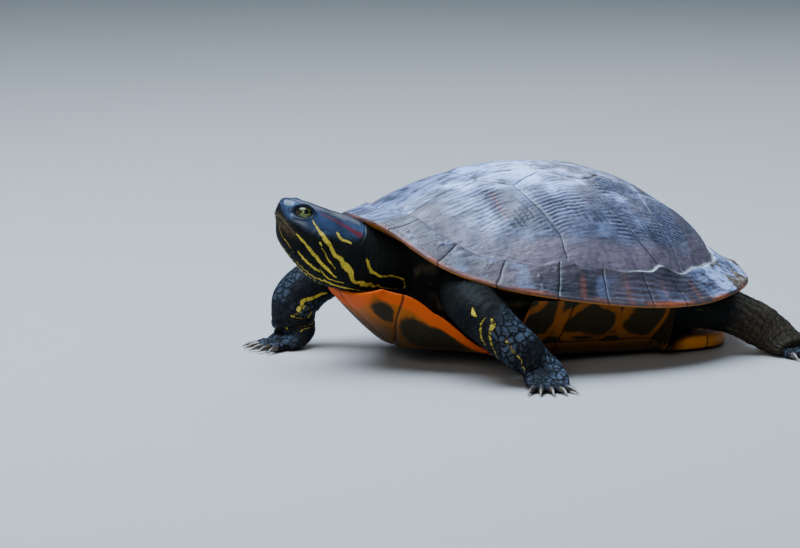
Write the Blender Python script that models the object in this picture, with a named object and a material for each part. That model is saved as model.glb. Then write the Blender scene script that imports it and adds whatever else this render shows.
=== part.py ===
"""Red-eared slider turtle, a grown female, life size, in mid stride.

The animal faces -Y, its left side is +X, and the ground is Z = 0. The shell is
a dome over a flat belly plate; head, neck, tail and four legs come out of the
openings between the two.
"""
import math

import bmesh
import bpy
import numpy as np
from mathutils import Matrix, Vector

MM = 0.001
GAP = 0.3 * MM                   # clearance between neighbouring pieces

# carapace
CARAPACE_LENGTH = 250 * MM       # straight length, nuchal edge to tail edge
CARAPACE_WIDTH = 191 * MM
DOME_HEIGHT = 70 * MM            # apex above the side rim
RIM_HEIGHT = 41 * MM             # side rim above the ground
SHELL_PITCH = math.radians(7.5)  # front of the shell lifted by the stride
FRONT_RISE = 29.5 * MM           # the rim climbs over the neck, in a shelf this wide:
FRONT_SHELF = math.radians(36)
REAR_RISE = 18 * MM
DOME_POWER = 2.1                 # 2 is a parabola, more is flatter on top
RIM_THICKNESS = 2.6 * MM
SIDE_BAND, FRONT_BAND, REAR_BAND = 18 * MM, 10.8 * MM, 11.5 * MM  # marginal heights
REAR_SWELL = 4.0 * MM            # the dome's steep rear end stands out by this much
SWELL_PEAK = 0.0433              # the largest value of share ** 8 * (1 - share)

# plastron
PLASTRON_THICKNESS = 5 * MM
REAR_LOBE_THICKNESS = 7.2 * MM
BRIDGE_HALF_WIDTH = 88 * MM
BRIDGE_FRONT, BRIDGE_REAR = -56 * MM, 44 * MM

# head
NOSE_TIP = Vector((-6 * MM, -162.5 * MM, 99.3 * MM))
HEAD_PITCH = math.radians(32)
HEAD_YAW = math.radians(13)
EYE_RADIUS = 5.0 * MM
EYE_CENTRE = (8.4 * MM, 13.2 * MM, -1.8 * MM)   # x, back from the nose, up

# toes and claws
TOE_RADIUS = 2.9                 # in mm, as the limbs' stations are
TOE_REACH = 10.0
TOE_FAN = 27                     # degrees to each side of the foot's heading
CLAW_RADIUS = 1.7 * MM
FRONT_CLAW, HIND_CLAW = 10.0 * MM, 9.0 * MM
CLAW_TIP_HEIGHT = 0.9 * MM

COLUMNS = 44                     # points round the shell

for old in list(bpy.data.objects):
    bpy.data.objects.remove(old, do_unlink=True)

parts = bpy.data.collections.new("red_eared_slider_turtle")
cutters = bpy.data.collections.new("cutters")
for group in (parts, cutters):
    bpy.context.scene.collection.children.link(group)


def make_material(name, color, roughness):
    """A plain Principled material for one piece."""
    mat = bpy.data.materials.new(name)
    mat.use_nodes = True
    shader = mat.node_tree.nodes["Principled BSDF"]
    shader.inputs["Base Color"].default_value = (*color, 1.0)
    shader.inputs["Roughness"].default_value = roughness
    shader.inputs["Metallic"].default_value = 0.0
    return mat


def make_empty(name, location, rotation=(0, 0, 0), parent=None):
    empty = bpy.data.objects.new(name, None)
    empty.location = location
    empty.rotation_euler = rotation
    empty.parent = parent
    parts.objects.link(empty)
    return empty


root = make_empty("turtle", (0, 0, 0))
shell_pose = make_empty("shell_pose", (0, 0, RIM_HEIGHT), (-SHELL_PITCH, 0, 0), root)
head_pose = make_empty("head_pose", NOSE_TIP, (-HEAD_PITCH, 0, -HEAD_YAW), root)

SHELL_MATRIX = Matrix.Translation((0, 0, RIM_HEIGHT)) @ Matrix.Rotation(-SHELL_PITCH, 4, "X")
HEAD_MATRIX = (Matrix.Translation(NOSE_TIP) @ Matrix.Rotation(-HEAD_YAW, 4, "Z")
               @ Matrix.Rotation(-HEAD_PITCH, 4, "X"))

SKIN = (0.030, 0.032, 0.026)
HORN = (0.035, 0.033, 0.030)


def add_mesh(name, verts, faces, color, roughness, parent=None, cutter=False):
    """An object from points and faces, in the parts or the cutters."""
    mesh = bpy.data.meshes.new(name)
    mesh.from_pydata([tuple(v) for v in verts], [], faces)
    mesh.update()
    mesh.shade_smooth()
    obj = bpy.data.objects.new(name, mesh)
    obj.parent = parent
    if cutter:
        obj.hide_render = True
        obj.display_type = "WIRE"
        cutters.objects.link(obj)
    else:
        mesh.set_sharp_from_angle(angle=math.radians(40))
        mesh.materials.append(make_material(name, color, roughness))
        parts.objects.link(obj)
    return obj


def split_quad(a, b, c, d):
    """Two triangles with a fixed diagonal, so that grown copies fold alike."""
    return [(a, b, c), (a, c, d)]


def close_rings(rings):
    """Faces of a loft through rings of equal count, with a fan at each end.

    The rings turn counter-clockwise seen from the far end of the path."""
    rings = np.asarray(rings, float)
    count, size = rings.shape[:2]
    verts = list(rings.reshape(-1, 3)) + [rings[0].mean(0), rings[-1].mean(0)]
    faces = []
    for i in range(count - 1):
        for j in range(size):
            k = (j + 1) % size
            faces += split_quad(i * size + j, i * size + k, (i + 1) * size + k, (i + 1) * size + j)
    start, end = count * size, count * size + 1
    for j in range(size):
        k = (j + 1) % size
        faces.append((start, k, j))
        faces.append((end, (count - 1) * size + j, (count - 1) * size + k))
    return verts, faces


def cut(obj, tool, operation="DIFFERENCE"):
    mod = obj.modifiers.new(operation.lower() + "_" + tool.name, "BOOLEAN")
    mod.operation = operation
    mod.solver = "EXACT"
    mod.object = tool


def space_round(obj, amount=1.4 * GAP):
    """The room a piece needs: its own shape swollen along its normals."""
    space = bpy.data.objects.new(obj.name + "_space", obj.data)
    space.parent = obj.parent
    space.hide_render = True
    space.display_type = "WIRE"
    cutters.objects.link(space)
    mod = space.modifiers.new("swell", "DISPLACE")
    mod.mid_level = 0
    mod.strength = amount
    return space


def smooth(a, b, x):
    """0 below a, 1 above b, eased between."""
    u = np.clip((x - a) / (b - a), 0, 1)
    return u * u * (3 - 2 * u)


# ---- carapace: rings from the apex out to the rim, then back in underneath

def rim_point(t):
    """Edge of the shell. t runs from the front over the left side to the rear."""
    square = 1 + 0.025 * np.sin(2 * t) ** 2
    x = CARAPACE_WIDTH / 2 * np.sin(t) * (1 - 0.03 * np.cos(t)) * square
    y = -CARAPACE_LENGTH / 2 * np.cos(t) * square
    scallop = 1 + 0.006 * smooth(0.2, 0.7, -np.cos(t)) * np.cos(11 * (math.pi - t))
    from_front = np.abs((t + math.pi) % (2 * math.pi) - math.pi)
    z = FRONT_RISE / (1 + (from_front / FRONT_SHELF) ** 3.6)
    z = z + REAR_RISE * np.clip(-np.cos(t), 0, 1) ** 2.2
    return x * scallop, y * scallop, z


def dome_point(t, rho):
    """Top of the shell at share rho of the way from the apex to the rim."""
    x, y, rim_z = rim_point(t)
    ahead, behind = np.clip(np.cos(t), 0, 1) ** 2, np.clip(-np.cos(t), 0, 1) ** 2
    side = 1 - ahead - behind
    seam = 0.87 * ahead + 0.86 * side + 0.80 * behind
    ends = np.where(np.cos(t) > 0, FRONT_BAND - 5 * MM * smooth(0.9, 1.0, np.cos(t)), REAR_BAND)
    band = ends + (SIDE_BAND - ends) * side ** 3
    base = rim_z + band
    share = np.clip(rho / seam, 1e-6, 1)
    dome = base + (DOME_HEIGHT - base) * (1 - share ** DOME_POWER)
    dome = dome + REAR_SWELL * behind ** 2 * share ** 8 * (1 - share) / SWELL_PEAK
    marginal = rim_z + band * (1 - np.clip((rho - seam) / (1 - seam), 0, 1)) ** 1.15
    z = np.where(rho <= seam, dome, marginal)
    return np.stack([x * rho, y * rho, z], -1)


def underside_point(t, rho):
    x, y, rim_z = rim_point(t)
    return np.stack([x * rho, y * rho, rim_z * rho ** 2 - RIM_THICKNESS], -1)


def add_carapace():
    t = np.linspace(2 * math.pi, 0, COLUMNS, endpoint=False)
    top = [dome_point(t, r) for r in (0.1, 0.25, 0.4, 0.54, 0.67, 0.77, 0.855, 0.93, 1.0)]
    under = [underside_point(t, r) for r in (0.985, 0.88, 0.6, 0.3)]
    verts, faces = close_rings(top + under)
    return add_mesh("carapace", verts, faces, (0.045, 0.038, 0.032), 0.42, shell_pose)


# ---- plastron: rows across the belly from the gular edge to the anal notch

def bridge_share(y):
    return (smooth(BRIDGE_FRONT - 7 * MM, BRIDGE_FRONT + 5 * MM, y)
            * (1 - smooth(BRIDGE_REAR - 5 * MM, BRIDGE_REAR + 7 * MM, y)))


def plastron_half_width(y):
    ahead = 60 * MM - 24 * MM * np.clip((-60 * MM - y) / (66 * MM), 0, 1) ** 1.8
    behind = 57 * MM - 36 * MM * np.clip((y - 40 * MM) / (71 * MM), 0, 1) ** 5
    lobe = np.minimum(ahead, behind)
    share = bridge_share(y)
    return lobe * (1 - share) + BRIDGE_HALF_WIDTH * share


def plastron_bottom(x, y):
    """Lower face: near level, turned up in front like a bow, raised at the bridges."""
    half = plastron_half_width(y)
    level = 9.5 * MM - 0.0455 * (y + 90 * MM)
    bow = 29.5 * MM * np.clip((-96 * MM - y) / (33.5 * MM), 0, 1.2) ** 1.15
    scoop = 26 * MM * np.exp(-((y + 101 * MM) / (25 * MM)) ** 2) * np.abs(x / half) ** 3
    keel_up = 1.0 * MM * smooth(45 * MM, 100 * MM, y) * np.abs(x / half) ** 2
    lift = 36 * MM * np.clip((np.abs(x) - 50 * MM) / (38 * MM), 0, 1) ** 1.3
    return level + bow + scoop + keel_up + bridge_share(y) * lift


def plastron_rows():
    """Grid of (x, y) points: 13 across, the rows closer together at the notches."""
    rows = np.array([-129.5, -123, -115, -105, -94, -82, -71, -63, -58, -53, -46, -16, 14, 38, 42,
                     46, 51, 60, 76, 90, 102, 111]) * MM
    share = np.sin(np.linspace(-1, 1, 13) * math.pi / 2 * 0.93) / math.sin(math.pi / 2 * 0.93)
    s, y = np.meshgrid(share, rows)
    x = s * plastron_half_width(y)
    ahead = smooth(100 * MM, 129.5 * MM, -y)
    behind = smooth(85 * MM, 111 * MM, y)
    bent = y + 8 * MM * ahead * np.abs(s) ** 2.5 - 8 * MM * behind * (1 - np.abs(s)) ** 1.5
    return x, y, bent


def plastron_loops(lift=0.0, depth=None):
    """Closed loops, one per row: along the top face and back along the bottom."""
    x, y, bent = plastron_rows()
    half = plastron_half_width(y)
    edge = np.clip(1 - np.abs(x / half) ** 4, 0, 1)
    z = plastron_bottom(x, y)
    rear = smooth(50 * MM, 72 * MM, y)
    thick = PLASTRON_THICKNESS * (0.5 + 0.5 * edge) * (1 - rear) + REAR_LOBE_THICKNESS * rear
    top = np.stack([x, bent, z + thick + lift], -1)
    bottom = np.stack([x, bent, z - depth if depth else z], -1)
    return [np.vstack([a, b[::-1]]) for a, b in zip(top, bottom)]


def close_loops(loops):
    """Faces of a slab through flat loops, whose ends are closed by strips."""
    loops = np.asarray(loops)
    count, size = loops.shape[:2]
    half = size // 2
    faces = []
    for i in range(count - 1):
        for j in range(size):
            k = (j + 1) % size
            faces += split_quad(i * size + j, i * size + k, (i + 1) * size + k, (i + 1) * size + j)
    last = (count - 1) * size
    for j in range(half - 1):
        a, b = j, size - 1 - j
        faces += split_quad(a, b, b - 1, a + 1)
        faces += split_quad(last + a, last + a + 1, last + b - 1, last + b)
    return loops.reshape(-1, 3), faces


def add_plastron(name, lift=0.0, depth=None, cutter=False):
    verts, faces = close_loops(plastron_loops(lift, depth))
    return add_mesh(name, verts, faces, (0.42, 0.13, 0.02), 0.45, root, cutter)


carapace = add_carapace()
carapace_space = space_round(carapace)
plastron = add_plastron("plastron")
plastron_space = space_round(plastron)
plastron_plug = add_plastron("plastron_plug", 1.5 * GAP, 40 * MM, True)
cut(plastron, carapace_space)


# ---- trunk: the body between the shell halves, as a bowl of rings

TRUNK_RINGS = (  # share of the rim across and along, height above the side rim
    (0.30, 0.35, -36 * MM), (0.50, 0.74, -34 * MM), (0.66, 0.80, -20 * MM),
    (0.80, 0.82, -6 * MM), (0.83, 0.84, 3 * MM))


def add_trunk():
    t = np.linspace(0, 2 * math.pi, 36, endpoint=False)
    rings = []
    for across, along, height in TRUNK_RINGS:
        x, y, rim_z = rim_point(t)
        lift = height + rim_z * along ** 2 * (0.25 if height < -10 * MM else 1.0)
        rings.append(np.stack([x * across, y * along, lift], -1))
    verts, faces = close_rings(rings)
    return add_mesh("trunk", verts, faces, SKIN, 0.6, shell_pose)


trunk = add_trunk()
trunk_space = space_round(trunk)
cut(trunk, carapace_space)
cut(trunk, plastron_plug)
spaces = (carapace_space, plastron_space, trunk_space)


# ---- limbs: smooth tubes through a few stations

def spline(points, steps):
    """Catmull-Rom points through the stations, steps to each span."""
    p = np.asarray(points, float)
    p = np.vstack([2 * p[0] - p[1], p, 2 * p[-1] - p[-2]])
    out = []
    for i in range(1, len(p) - 2):
        for u in np.linspace(0, 1, steps, endpoint=False):
            a, b, c, d = p[i - 1:i + 3]
            out.append(0.5 * (2 * b + (c - a) * u + (2 * a - 5 * b + 4 * c - d) * u * u
                              + (3 * b - a - 3 * c + d) * u ** 3))
    out.append(p[-2])
    return np.array(out)


def tube_rings(stations, up, steps=2, size=14, power=0.9, floor=False):
    """Rings across a path. A station is x, y, z, half width, half height in mm."""
    line = spline(np.array(stations) * MM, steps)
    centre, radii = line[:, :3], line[:, 3:5]
    tangent = np.gradient(centre, axis=0)
    tangent /= np.linalg.norm(tangent, axis=1, keepdims=True)
    side = np.cross(tangent, np.array(up, float))
    side /= np.linalg.norm(side, axis=1, keepdims=True)
    over = np.cross(side, tangent)
    a = np.linspace(0, 2 * math.pi, size, endpoint=False)
    ca = np.sign(np.cos(a)) * np.abs(np.cos(a)) ** power
    sa = np.sign(np.sin(a)) * np.abs(np.sin(a)) ** power
    rings = (centre[:, None] + radii[:, None, :1] * ca[None, :, None] * side[:, None]
             - radii[:, None, 1:] * sa[None, :, None] * over[:, None])
    if floor:
        rings[..., 2] = np.maximum(rings[..., 2], 0.0)
    return rings, centre, tangent


def add_tube(name, rings, parent=None, color=SKIN, cutter=False):
    verts, faces = close_rings(rings)
    return add_mesh(name, verts, faces, color, 0.6, parent or root, cutter)


def split_limb(names, stations, up, breaks, steps=2, size=14, floor=False):
    """One smooth limb parted into named lengths by thin gaps at the breaks."""
    rings, centre, tangent = tube_rings(stations, up, steps, size, floor=floor)
    cuts = [0] + [b * steps for b in breaks] + [len(rings) - 1]
    made = []
    for i, name in enumerate(names):
        length = rings[cuts[i]:cuts[i + 1] + 1].copy()
        if i:
            length[0] += GAP * tangent[cuts[i]]
        made.append(add_tube(name, length))
    return made


def add_claw(name, tip, direction, length):
    """A curved cone that starts a gap beyond the toe and bends to the ground."""
    d = Vector(direction)
    start = Vector(tip) + d * GAP
    curve = bpy.data.curves.new(name, "CURVE")
    curve.dimensions = "3D"
    curve.bevel_depth = CLAW_RADIUS
    curve.bevel_resolution = 0
    curve.use_fill_caps = True
    line = curve.splines.new("POLY")
    line.points.add(4)
    for i, point in enumerate(line.points):
        u = i / 4
        place = start + d * (length * u)
        place.z = start.z + (CLAW_TIP_HEIGHT - start.z) * u ** 1.6 + 0.7 * MM * math.sin(math.pi * u)
        point.co = (*place, 1)
        point.radius = 1 - 0.82 * u ** 1.3
    obj = bpy.data.objects.new(name, curve)
    cutters.objects.link(obj)
    mesh = bpy.data.meshes.new_from_object(obj.evaluated_get(bpy.context.evaluated_depsgraph_get()))
    bpy.data.objects.remove(obj)
    weld_and_add(name, mesh)


def weld_and_add(name, mesh):
    """Closes a curve's caps and adds the mesh as a horn-coloured piece."""
    bm = bmesh.new()
    bm.from_mesh(mesh)
    bmesh.ops.remove_doubles(bm, verts=bm.verts, dist=0.01 * MM)
    bmesh.ops.recalc_face_normals(bm, faces=bm.faces)
    bm.to_mesh(mesh)
    bm.free()
    mesh.materials.clear()
    mesh.materials.append(make_material(name, HORN, 0.4))
    obj = bpy.data.objects.new(name, mesh)
    obj.parent = root
    parts.objects.link(obj)


def add_toes(foot, stem, base, heading, count, claw):
    """Toes fanned round a heading (degrees from +Y towards +X), each with a claw."""
    for i in range(count):
        share = i / (count - 1) * 2 - 1
        turn = math.radians(heading + TOE_FAN * share)
        d = np.array([math.sin(turn), math.cos(turn), 0.0])
        side = np.array([d[1], -d[0], 0.0])
        across = np.array([math.cos(math.radians(heading)), -math.sin(math.radians(heading)), 0])
        length = TOE_REACH * (1 - 0.16 * share ** 2)      # the middle toes are the longest
        root_point = np.array(base) + across * share * 6.0
        a = root_point + np.array([0, 0, 0.8])
        b = root_point + d * length * 0.6
        c = root_point + d * length
        rings, centre, tangent = tube_rings(
            [(*a, TOE_RADIUS, TOE_RADIUS), (*b, TOE_RADIUS * 1.05, TOE_RADIUS),
             (*c, TOE_RADIUS * 0.85, TOE_RADIUS * 0.8)],
            (0, 0, 1), steps=1, size=8, floor=True)
        toe = add_tube(f"{stem}_toe_{i + 1}", rings, cutter=True)
        cut(foot, toe, "UNION")
        end = centre[-1]
        add_claw(f"{stem}_claw_{i + 1}", end, tangent[-1], claw)


# name, upper-end stations, breaks for upper / lower / foot, toe fan
FRONT_LEFT = [(42, -71, 50, 17, 15), (58, -78, 47, 15.5, 14), (74, -80.5, 41, 14.3, 13.3),
              (87, -76.5, 33, 13.2, 12.8), (92.5, -68.5, 24.5, 12.8, 12.2),
              (95, -60.5, 17.5, 12.5, 11.2), (99, -55, 11.2, 12.3, 8.9), (105, -54, 6.4, 12.6, 6.6),
              (111.5, -56, 4.2, 12.6, 5.0), (116, -58, 3.2, 11.8, 4.0)]
FRONT_RIGHT = [(-44, -76, 54, 17, 17), (-58, -96, 47, 16, 15), (-67, -113, 38, 14, 13.5),
               (-69, -124, 28, 13, 14), (-68, -127, 18, 12.5, 13), (-67, -127, 11, 12.5, 11),
               (-66, -131, 5.4, 13.5, 6.3), (-65, -138, 3.0, 12.5, 4.2)]
HIND_LEFT = [(36, 50, 27, 18, 16), (49, 60, 29, 17, 14), (57, 75, 28, 14.5, 13),
             (61.5, 88.5, 25, 13, 12.5), (65.5, 98.5, 20.8, 13, 12), (69.5, 106, 16.5, 12.8, 12),
             (74, 112, 11.8, 13, 10.5), (80.5, 116, 7.8, 13.5, 8), (88, 118.5, 4.8, 12.5, 5.2)]
HIND_RIGHT = [(-36, 50, 26, 19, 17), (-56, 50, 22, 17, 13), (-74, 49, 19, 15, 12.5),
              (-84, 55, 16, 13, 12), (-90, 64, 11.3, 12, 10.5), (-95, 71, 6.8, 13, 7.4),
              (-101, 76, 4.3, 14, 5.2), (-107, 80, 3.3, 12.5, 4.0)]

LIMBS = (
    ("front_left", FRONT_LEFT, (3, 6), (115.5, -57.8, 2.4), 108, 5, FRONT_CLAW),
    ("front_right", FRONT_RIGHT, (3, 5), (-65, -138, 2.4), 174, 5, FRONT_CLAW),
    ("hind_left", HIND_LEFT, (4, 6), (87, 118, 2.4), 68, 4, HIND_CLAW),
    ("hind_right", HIND_RIGHT, (3, 5), (-106, 79.3, 2.4), -57, 4, HIND_CLAW),
)
for stem, stations, breaks, toe_base, heading, toes, claw in LIMBS:
    names = [f"{stem}_upper_leg", f"{stem}_lower_leg", f"{stem}_foot"]
    limb = split_limb(names, stations, (0, 0, 1), breaks, floor=True)
    for tool in spaces:
        cut(limb[0], tool)
    cut(limb[1], carapace_space)
    add_toes(limb[2], stem, toe_base, heading, toes, claw)

TAIL = [(-2, 92, 24, 13, 11), (-6, 108, 19, 10.5, 9), (-12, 122, 13, 7.5, 6.5),
        (-19, 135, 7.5, 4.8, 4.3), (-25, 145, 3.6, 2.2, 2.2)]
rings, _, _ = tube_rings(TAIL, (0, 0, 1), steps=2, size=10)
tail = add_tube("tail", rings)
for tool in spaces:
    cut(tail, tool)


# ---- head: sections back from the nose, then the neck into the shell

HEAD_SECTIONS = (  # back, top, bottom, widest level, half width (mm)
    (0.3, -0.8, -7.5, -4.0, 3.8), (1.8, 0.3, -11.5, -5.5, 6.0), (4.2, 1.6, -14.8, -7.0, 8.2),
    (7.2, 2.8, -19.6, -8.0, 10.6), (10.5, 3.7, -22.6, -8.0, 12.6), (14.5, 4.7, -24.9, -8.5, 14.2),
    (19.5, 5.6, -27.0, -9.5, 15.8), (26.0, 6.6, -29.4, -10.5, 17.4), (33.0, 8.0, -31.0, -11.0, 18.2),
    (39.0, 9.2, -31.6, -11.0, 18.2), (45.0, 10.2, -31.2, -11.0, 18.6))
NECK_STATIONS = [(2, -119, 63, 20, 21.5), (3, -106, 61, 21, 20), (3, -90, 58, 22, 19)]


def head_ring(back, top, bottom, wide, half, size=20):
    a = np.linspace(0, 2 * math.pi, size, endpoint=False)
    c, s = np.cos(a), np.sin(a)
    x = half * np.sign(c) * np.abs(c) ** 0.86
    z = np.where(s > 0, wide + (top - wide) * np.abs(s) ** 0.92, wide - (wide - bottom) * np.abs(s))
    lean = -0.10 * (z - wide) * np.clip(back / 20, 0, 1)      # sections lean with the throat
    return np.stack([x, back + lean, z], -1) * MM


head_rings = [head_ring(*row) for row in HEAD_SECTIONS]
verts, faces = close_rings(head_rings[::-1])
whole = add_mesh("head", verts, faces, SKIN, 0.55, head_pose)

# the mouth line in the head's own side view: back from the nose and up
MOUTH = [(-4, -11.4), (3.5, -11.8), (8, -13.6), (13, -15.6), (19, -16.6), (24, -18.5)]
JAW_REAR = [(28, -27), (30, -40), (-4, -40)]


def side_prism(name, outline, half_width):
    """A cutter whose side view in the head frame is the outline."""
    n = len(outline)
    verts = [(sx * half_width, a * MM, b * MM) for sx in (-1, 1) for a, b in outline]
    faces = [(i, i + n, (i + 1) % n + n, (i + 1) % n) for i in range(n)]
    faces += [tuple(range(n)), tuple(range(2 * n - 1, n - 1, -1))]
    return add_mesh(name, verts, faces, SKIN, 0.5, head_pose, True)


def lowered(points, amount):
    return [(a, b - amount) for a, b in points]


jaw_cut = side_prism("jaw_cut", MOUTH + JAW_REAR, 40 * MM)
jaw_keep = side_prism("jaw_keep", lowered(MOUTH, 0.3) + [(27.7, -27.3), (29.6, -41), (-4, -41)],
                      40 * MM)
jaw = add_mesh("lower_jaw", verts, faces, SKIN, 0.5, head_pose)
cut(jaw, jaw_keep, "INTERSECT")
cut(whole, jaw_cut)

for side, sign in (("left", 1), ("right", -1)):
    place = (sign * EYE_CENTRE[0], EYE_CENTRE[1], EYE_CENTRE[2])
    for name, radius in ((f"eye_{side}", EYE_RADIUS), (f"socket_{side}", EYE_RADIUS + GAP)):
        bpy.ops.mesh.primitive_uv_sphere_add(segments=12, ring_count=8, radius=radius)
        ball = bpy.context.object
        ball.name = name
        ball.parent = head_pose
        ball.location = place
        ball.data.shade_smooth()
        for group in list(ball.users_collection):
            group.objects.unlink(ball)
        if name.startswith("eye"):
            ball.data.materials.append(make_material(name, (0.30, 0.32, 0.10), 0.1))
            parts.objects.link(ball)
        else:
            ball.hide_render = True
            ball.display_type = "WIRE"
            cutters.objects.link(ball)
            cut(whole, ball)

# the neck starts a gap behind the head's last section and turns the same way round
last = [HEAD_MATRIX @ (Vector(p) + Vector((0, GAP, 0))) for p in head_rings[-1]]
nape_ring = np.roll(np.array([tuple(p) for p in last])[::-1], 1, axis=0)
neck_rings, _, _ = tube_rings(NECK_STATIONS, (0, 0, 1), steps=2, size=20, power=0.95)
blend = [nape_ring + (neck_rings[0] - nape_ring) * u for u in (0.0, 0.33, 0.66)]
neck = add_tube("neck", blend + list(neck_rings))
for tool in spaces:
    cut(neck, tool)

# ---- the origin: on the ground under the middle of the box round the animal
bpy.context.view_layer.update()
graph = bpy.context.evaluated_depsgraph_get()
corners = []
for obj in parts.objects:
    if obj.type == "MESH":
        seen = obj.evaluated_get(graph)
        corners += [seen.matrix_world @ v.co for v in seen.data.vertices]
low = [min(c[i] for c in corners) for i in range(3)]
high = [max(c[i] for c in corners) for i in range(3)]
root.location = (-(low[0] + high[0]) / 2, -(low[1] + high[1]) / 2, -low[2])
print("box", [round(1000 * (b - a), 1) for a, b in zip(low, high)],
      "moved", [round(1000 * v, 3) for v in root.location])
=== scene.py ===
import math

import bpy
import numpy as np
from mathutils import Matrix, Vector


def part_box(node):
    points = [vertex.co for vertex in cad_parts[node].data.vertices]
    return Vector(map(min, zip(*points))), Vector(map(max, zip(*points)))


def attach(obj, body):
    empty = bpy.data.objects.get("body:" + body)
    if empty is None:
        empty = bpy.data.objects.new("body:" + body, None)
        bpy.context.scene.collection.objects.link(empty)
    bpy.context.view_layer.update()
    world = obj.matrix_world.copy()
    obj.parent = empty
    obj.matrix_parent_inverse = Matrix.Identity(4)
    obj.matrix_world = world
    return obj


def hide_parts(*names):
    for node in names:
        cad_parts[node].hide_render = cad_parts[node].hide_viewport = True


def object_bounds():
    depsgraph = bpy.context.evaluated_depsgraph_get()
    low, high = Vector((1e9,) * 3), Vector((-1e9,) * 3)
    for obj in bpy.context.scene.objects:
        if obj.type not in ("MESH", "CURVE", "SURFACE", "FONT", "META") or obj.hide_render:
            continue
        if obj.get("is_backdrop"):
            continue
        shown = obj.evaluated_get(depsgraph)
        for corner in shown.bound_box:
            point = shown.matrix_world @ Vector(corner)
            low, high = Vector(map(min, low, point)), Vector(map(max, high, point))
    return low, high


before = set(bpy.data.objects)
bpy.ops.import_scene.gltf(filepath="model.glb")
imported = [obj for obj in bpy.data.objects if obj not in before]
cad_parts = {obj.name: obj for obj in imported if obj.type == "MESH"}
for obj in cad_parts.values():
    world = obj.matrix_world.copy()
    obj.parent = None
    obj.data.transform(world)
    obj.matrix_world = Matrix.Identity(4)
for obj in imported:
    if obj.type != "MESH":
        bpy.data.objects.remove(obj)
cadLow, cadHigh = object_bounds()

mm = 0.001      # shapes are worked out in millimetres and made metres when they become a mesh
fullTurn = 2 * math.pi


def ease(a, b, x):
    # 0 below a and 1 above b, with a soft start and end
    u = np.clip((x - a) / (b - a), 0, 1)
    return u * u * (3 - 2 * u)


def peak(x, middle, width):
    # a bell: 1 at the middle, about a third one width away
    return np.exp(-((x - middle) / width) ** 2)


def ripple(x):
    # a wave from -1 to 1 that repeats after 1
    return np.sin(fullTurn * x)


def scrambled(*whole):
    # one random whole number for each set of whole numbers
    h = 0
    for value, prime in zip(whole, (73856093, 19349663, 83492791, 668265263)):
        h = h ^ (value * prime)
    return ((h ^ (h >> 13)) * 1274126177) & 0x7fffffff


def grainAt(points, size, seed=0):
    # random values from -1 to 1 on a cubic lattice of this size, eased between its corners
    q = np.asarray(points, float) / size
    low = np.floor(q).astype(np.int64)
    f = q - low
    f = f * f * (3 - 2 * f)
    total = np.zeros(q.shape[:-1])
    for corner in np.ndindex(2, 2, 2):
        k = low + np.array(corner)
        value = (scrambled(k[..., 0], k[..., 1], k[..., 2], seed) & 0xffff) / 32767.5 - 1
        total = total + value * np.prod(np.where(corner, f, 1 - f), axis=-1)
    return total


def scalesAt(u, v, around, seed, loose=0.75):
    # how far each point lies from its scale's border, in scales: the gap between the second nearest and
    # the nearest middle; u runs along and v round, where there are 'around' scales
    iu, iv = np.floor(u).astype(np.int64), np.floor(v).astype(np.int64)
    near, second = np.full(u.shape, 9.0), np.full(u.shape, 9.0)
    for du, dv in np.ndindex(3, 3):
        ku, kv = iu + du - 1, iv + dv - 1
        h = scrambled(ku, kv % around, seed)
        jx, jy = (h & 0x3ff) / 1023.0 - 0.5, ((h >> 10) & 0x3ff) / 1023.0 - 0.5
        shift = 0.5 * (ku % 2)
        d = np.hypot(u - ku - 0.5 - loose * jx * 0.5, v - kv - 0.5 - shift + 0.25 - loose * jy * 0.5)
        second = np.where(d < near, near, np.minimum(second, d))
        near = np.minimum(near, d)
    return second - near


def splineThrough(rows, steps):
    # Catmull-Rom through rows of numbers, with this many steps to each span
    p = np.asarray(rows, float)
    p = np.concatenate([2 * p[:1] - p[1:2], p, 2 * p[-1:] - p[-2:-1]])
    u = (np.arange(steps) / steps).reshape((1, steps) + (1,) * (p.ndim - 1))
    a, b, c, d = (p[i:len(p) - 3 + i][:, None] for i in range(4))
    curve = 0.5 * (2 * b + (c - a) * u + (2 * a - 5 * b + 4 * c - d) * u ** 2
                   + (3 * b - a - 3 * c + d) * u ** 3)
    return np.concatenate([curve.reshape((-1,) + p.shape[1:]), p[-2:-1]])


def unit(v):
    return v / np.linalg.norm(v, axis=-1, keepdims=True)


def gridNormals(grid):
    # unit normals of a grid whose rows close on themselves, from its change along the rows and across them
    across = (np.roll(grid, -1, 1) - np.roll(grid, 1, 1)) / 2
    n = np.cross(np.gradient(grid, axis=0), across)
    return n / np.maximum(np.linalg.norm(n, axis=-1, keepdims=True), 1e-9)


def outwardFrom(grid):
    # the normals, turned away from the middle of their row
    normal = gridNormals(grid)
    middle = grid.mean(axis=1, keepdims=True)
    return normal * np.sign((normal * (grid - middle)).sum(-1, keepdims=True))


def moved(grid, direction, by):
    return grid + direction * by[..., None]


def runAlong(line):
    # length run from the first point of a line to each of its points
    return np.concatenate([[0], np.cumsum(np.linalg.norm(np.diff(line, axis=0), axis=1))])


def roundCount(columns):
    return np.linspace(0, fullTurn, columns, endpoint=False)


def squared(t, power):
    # cosine and sine of a turn, each raised to a power with its sign kept: below 1 squares an oval off
    return (np.sign(f(t)) * np.abs(f(t)) ** power for f in (np.cos, np.sin))


def gridFaces(rows, columns):
    i = np.arange(rows - 1)[:, None]
    j = np.arange(columns)[None]
    k = (j + 1) % columns
    quads = np.stack([i * columns + j, i * columns + k, (i + 1) * columns + k, (i + 1) * columns + j], -1)
    return quads.reshape(-1, 4)


def fanFaces(ring, pole, flip):
    fan = np.stack([ring, np.roll(ring, -1), np.full(len(ring), pole)], -1)
    return fan[:, ::-1] if flip else fan


noTriangles = np.zeros((0, 3), int)


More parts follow.
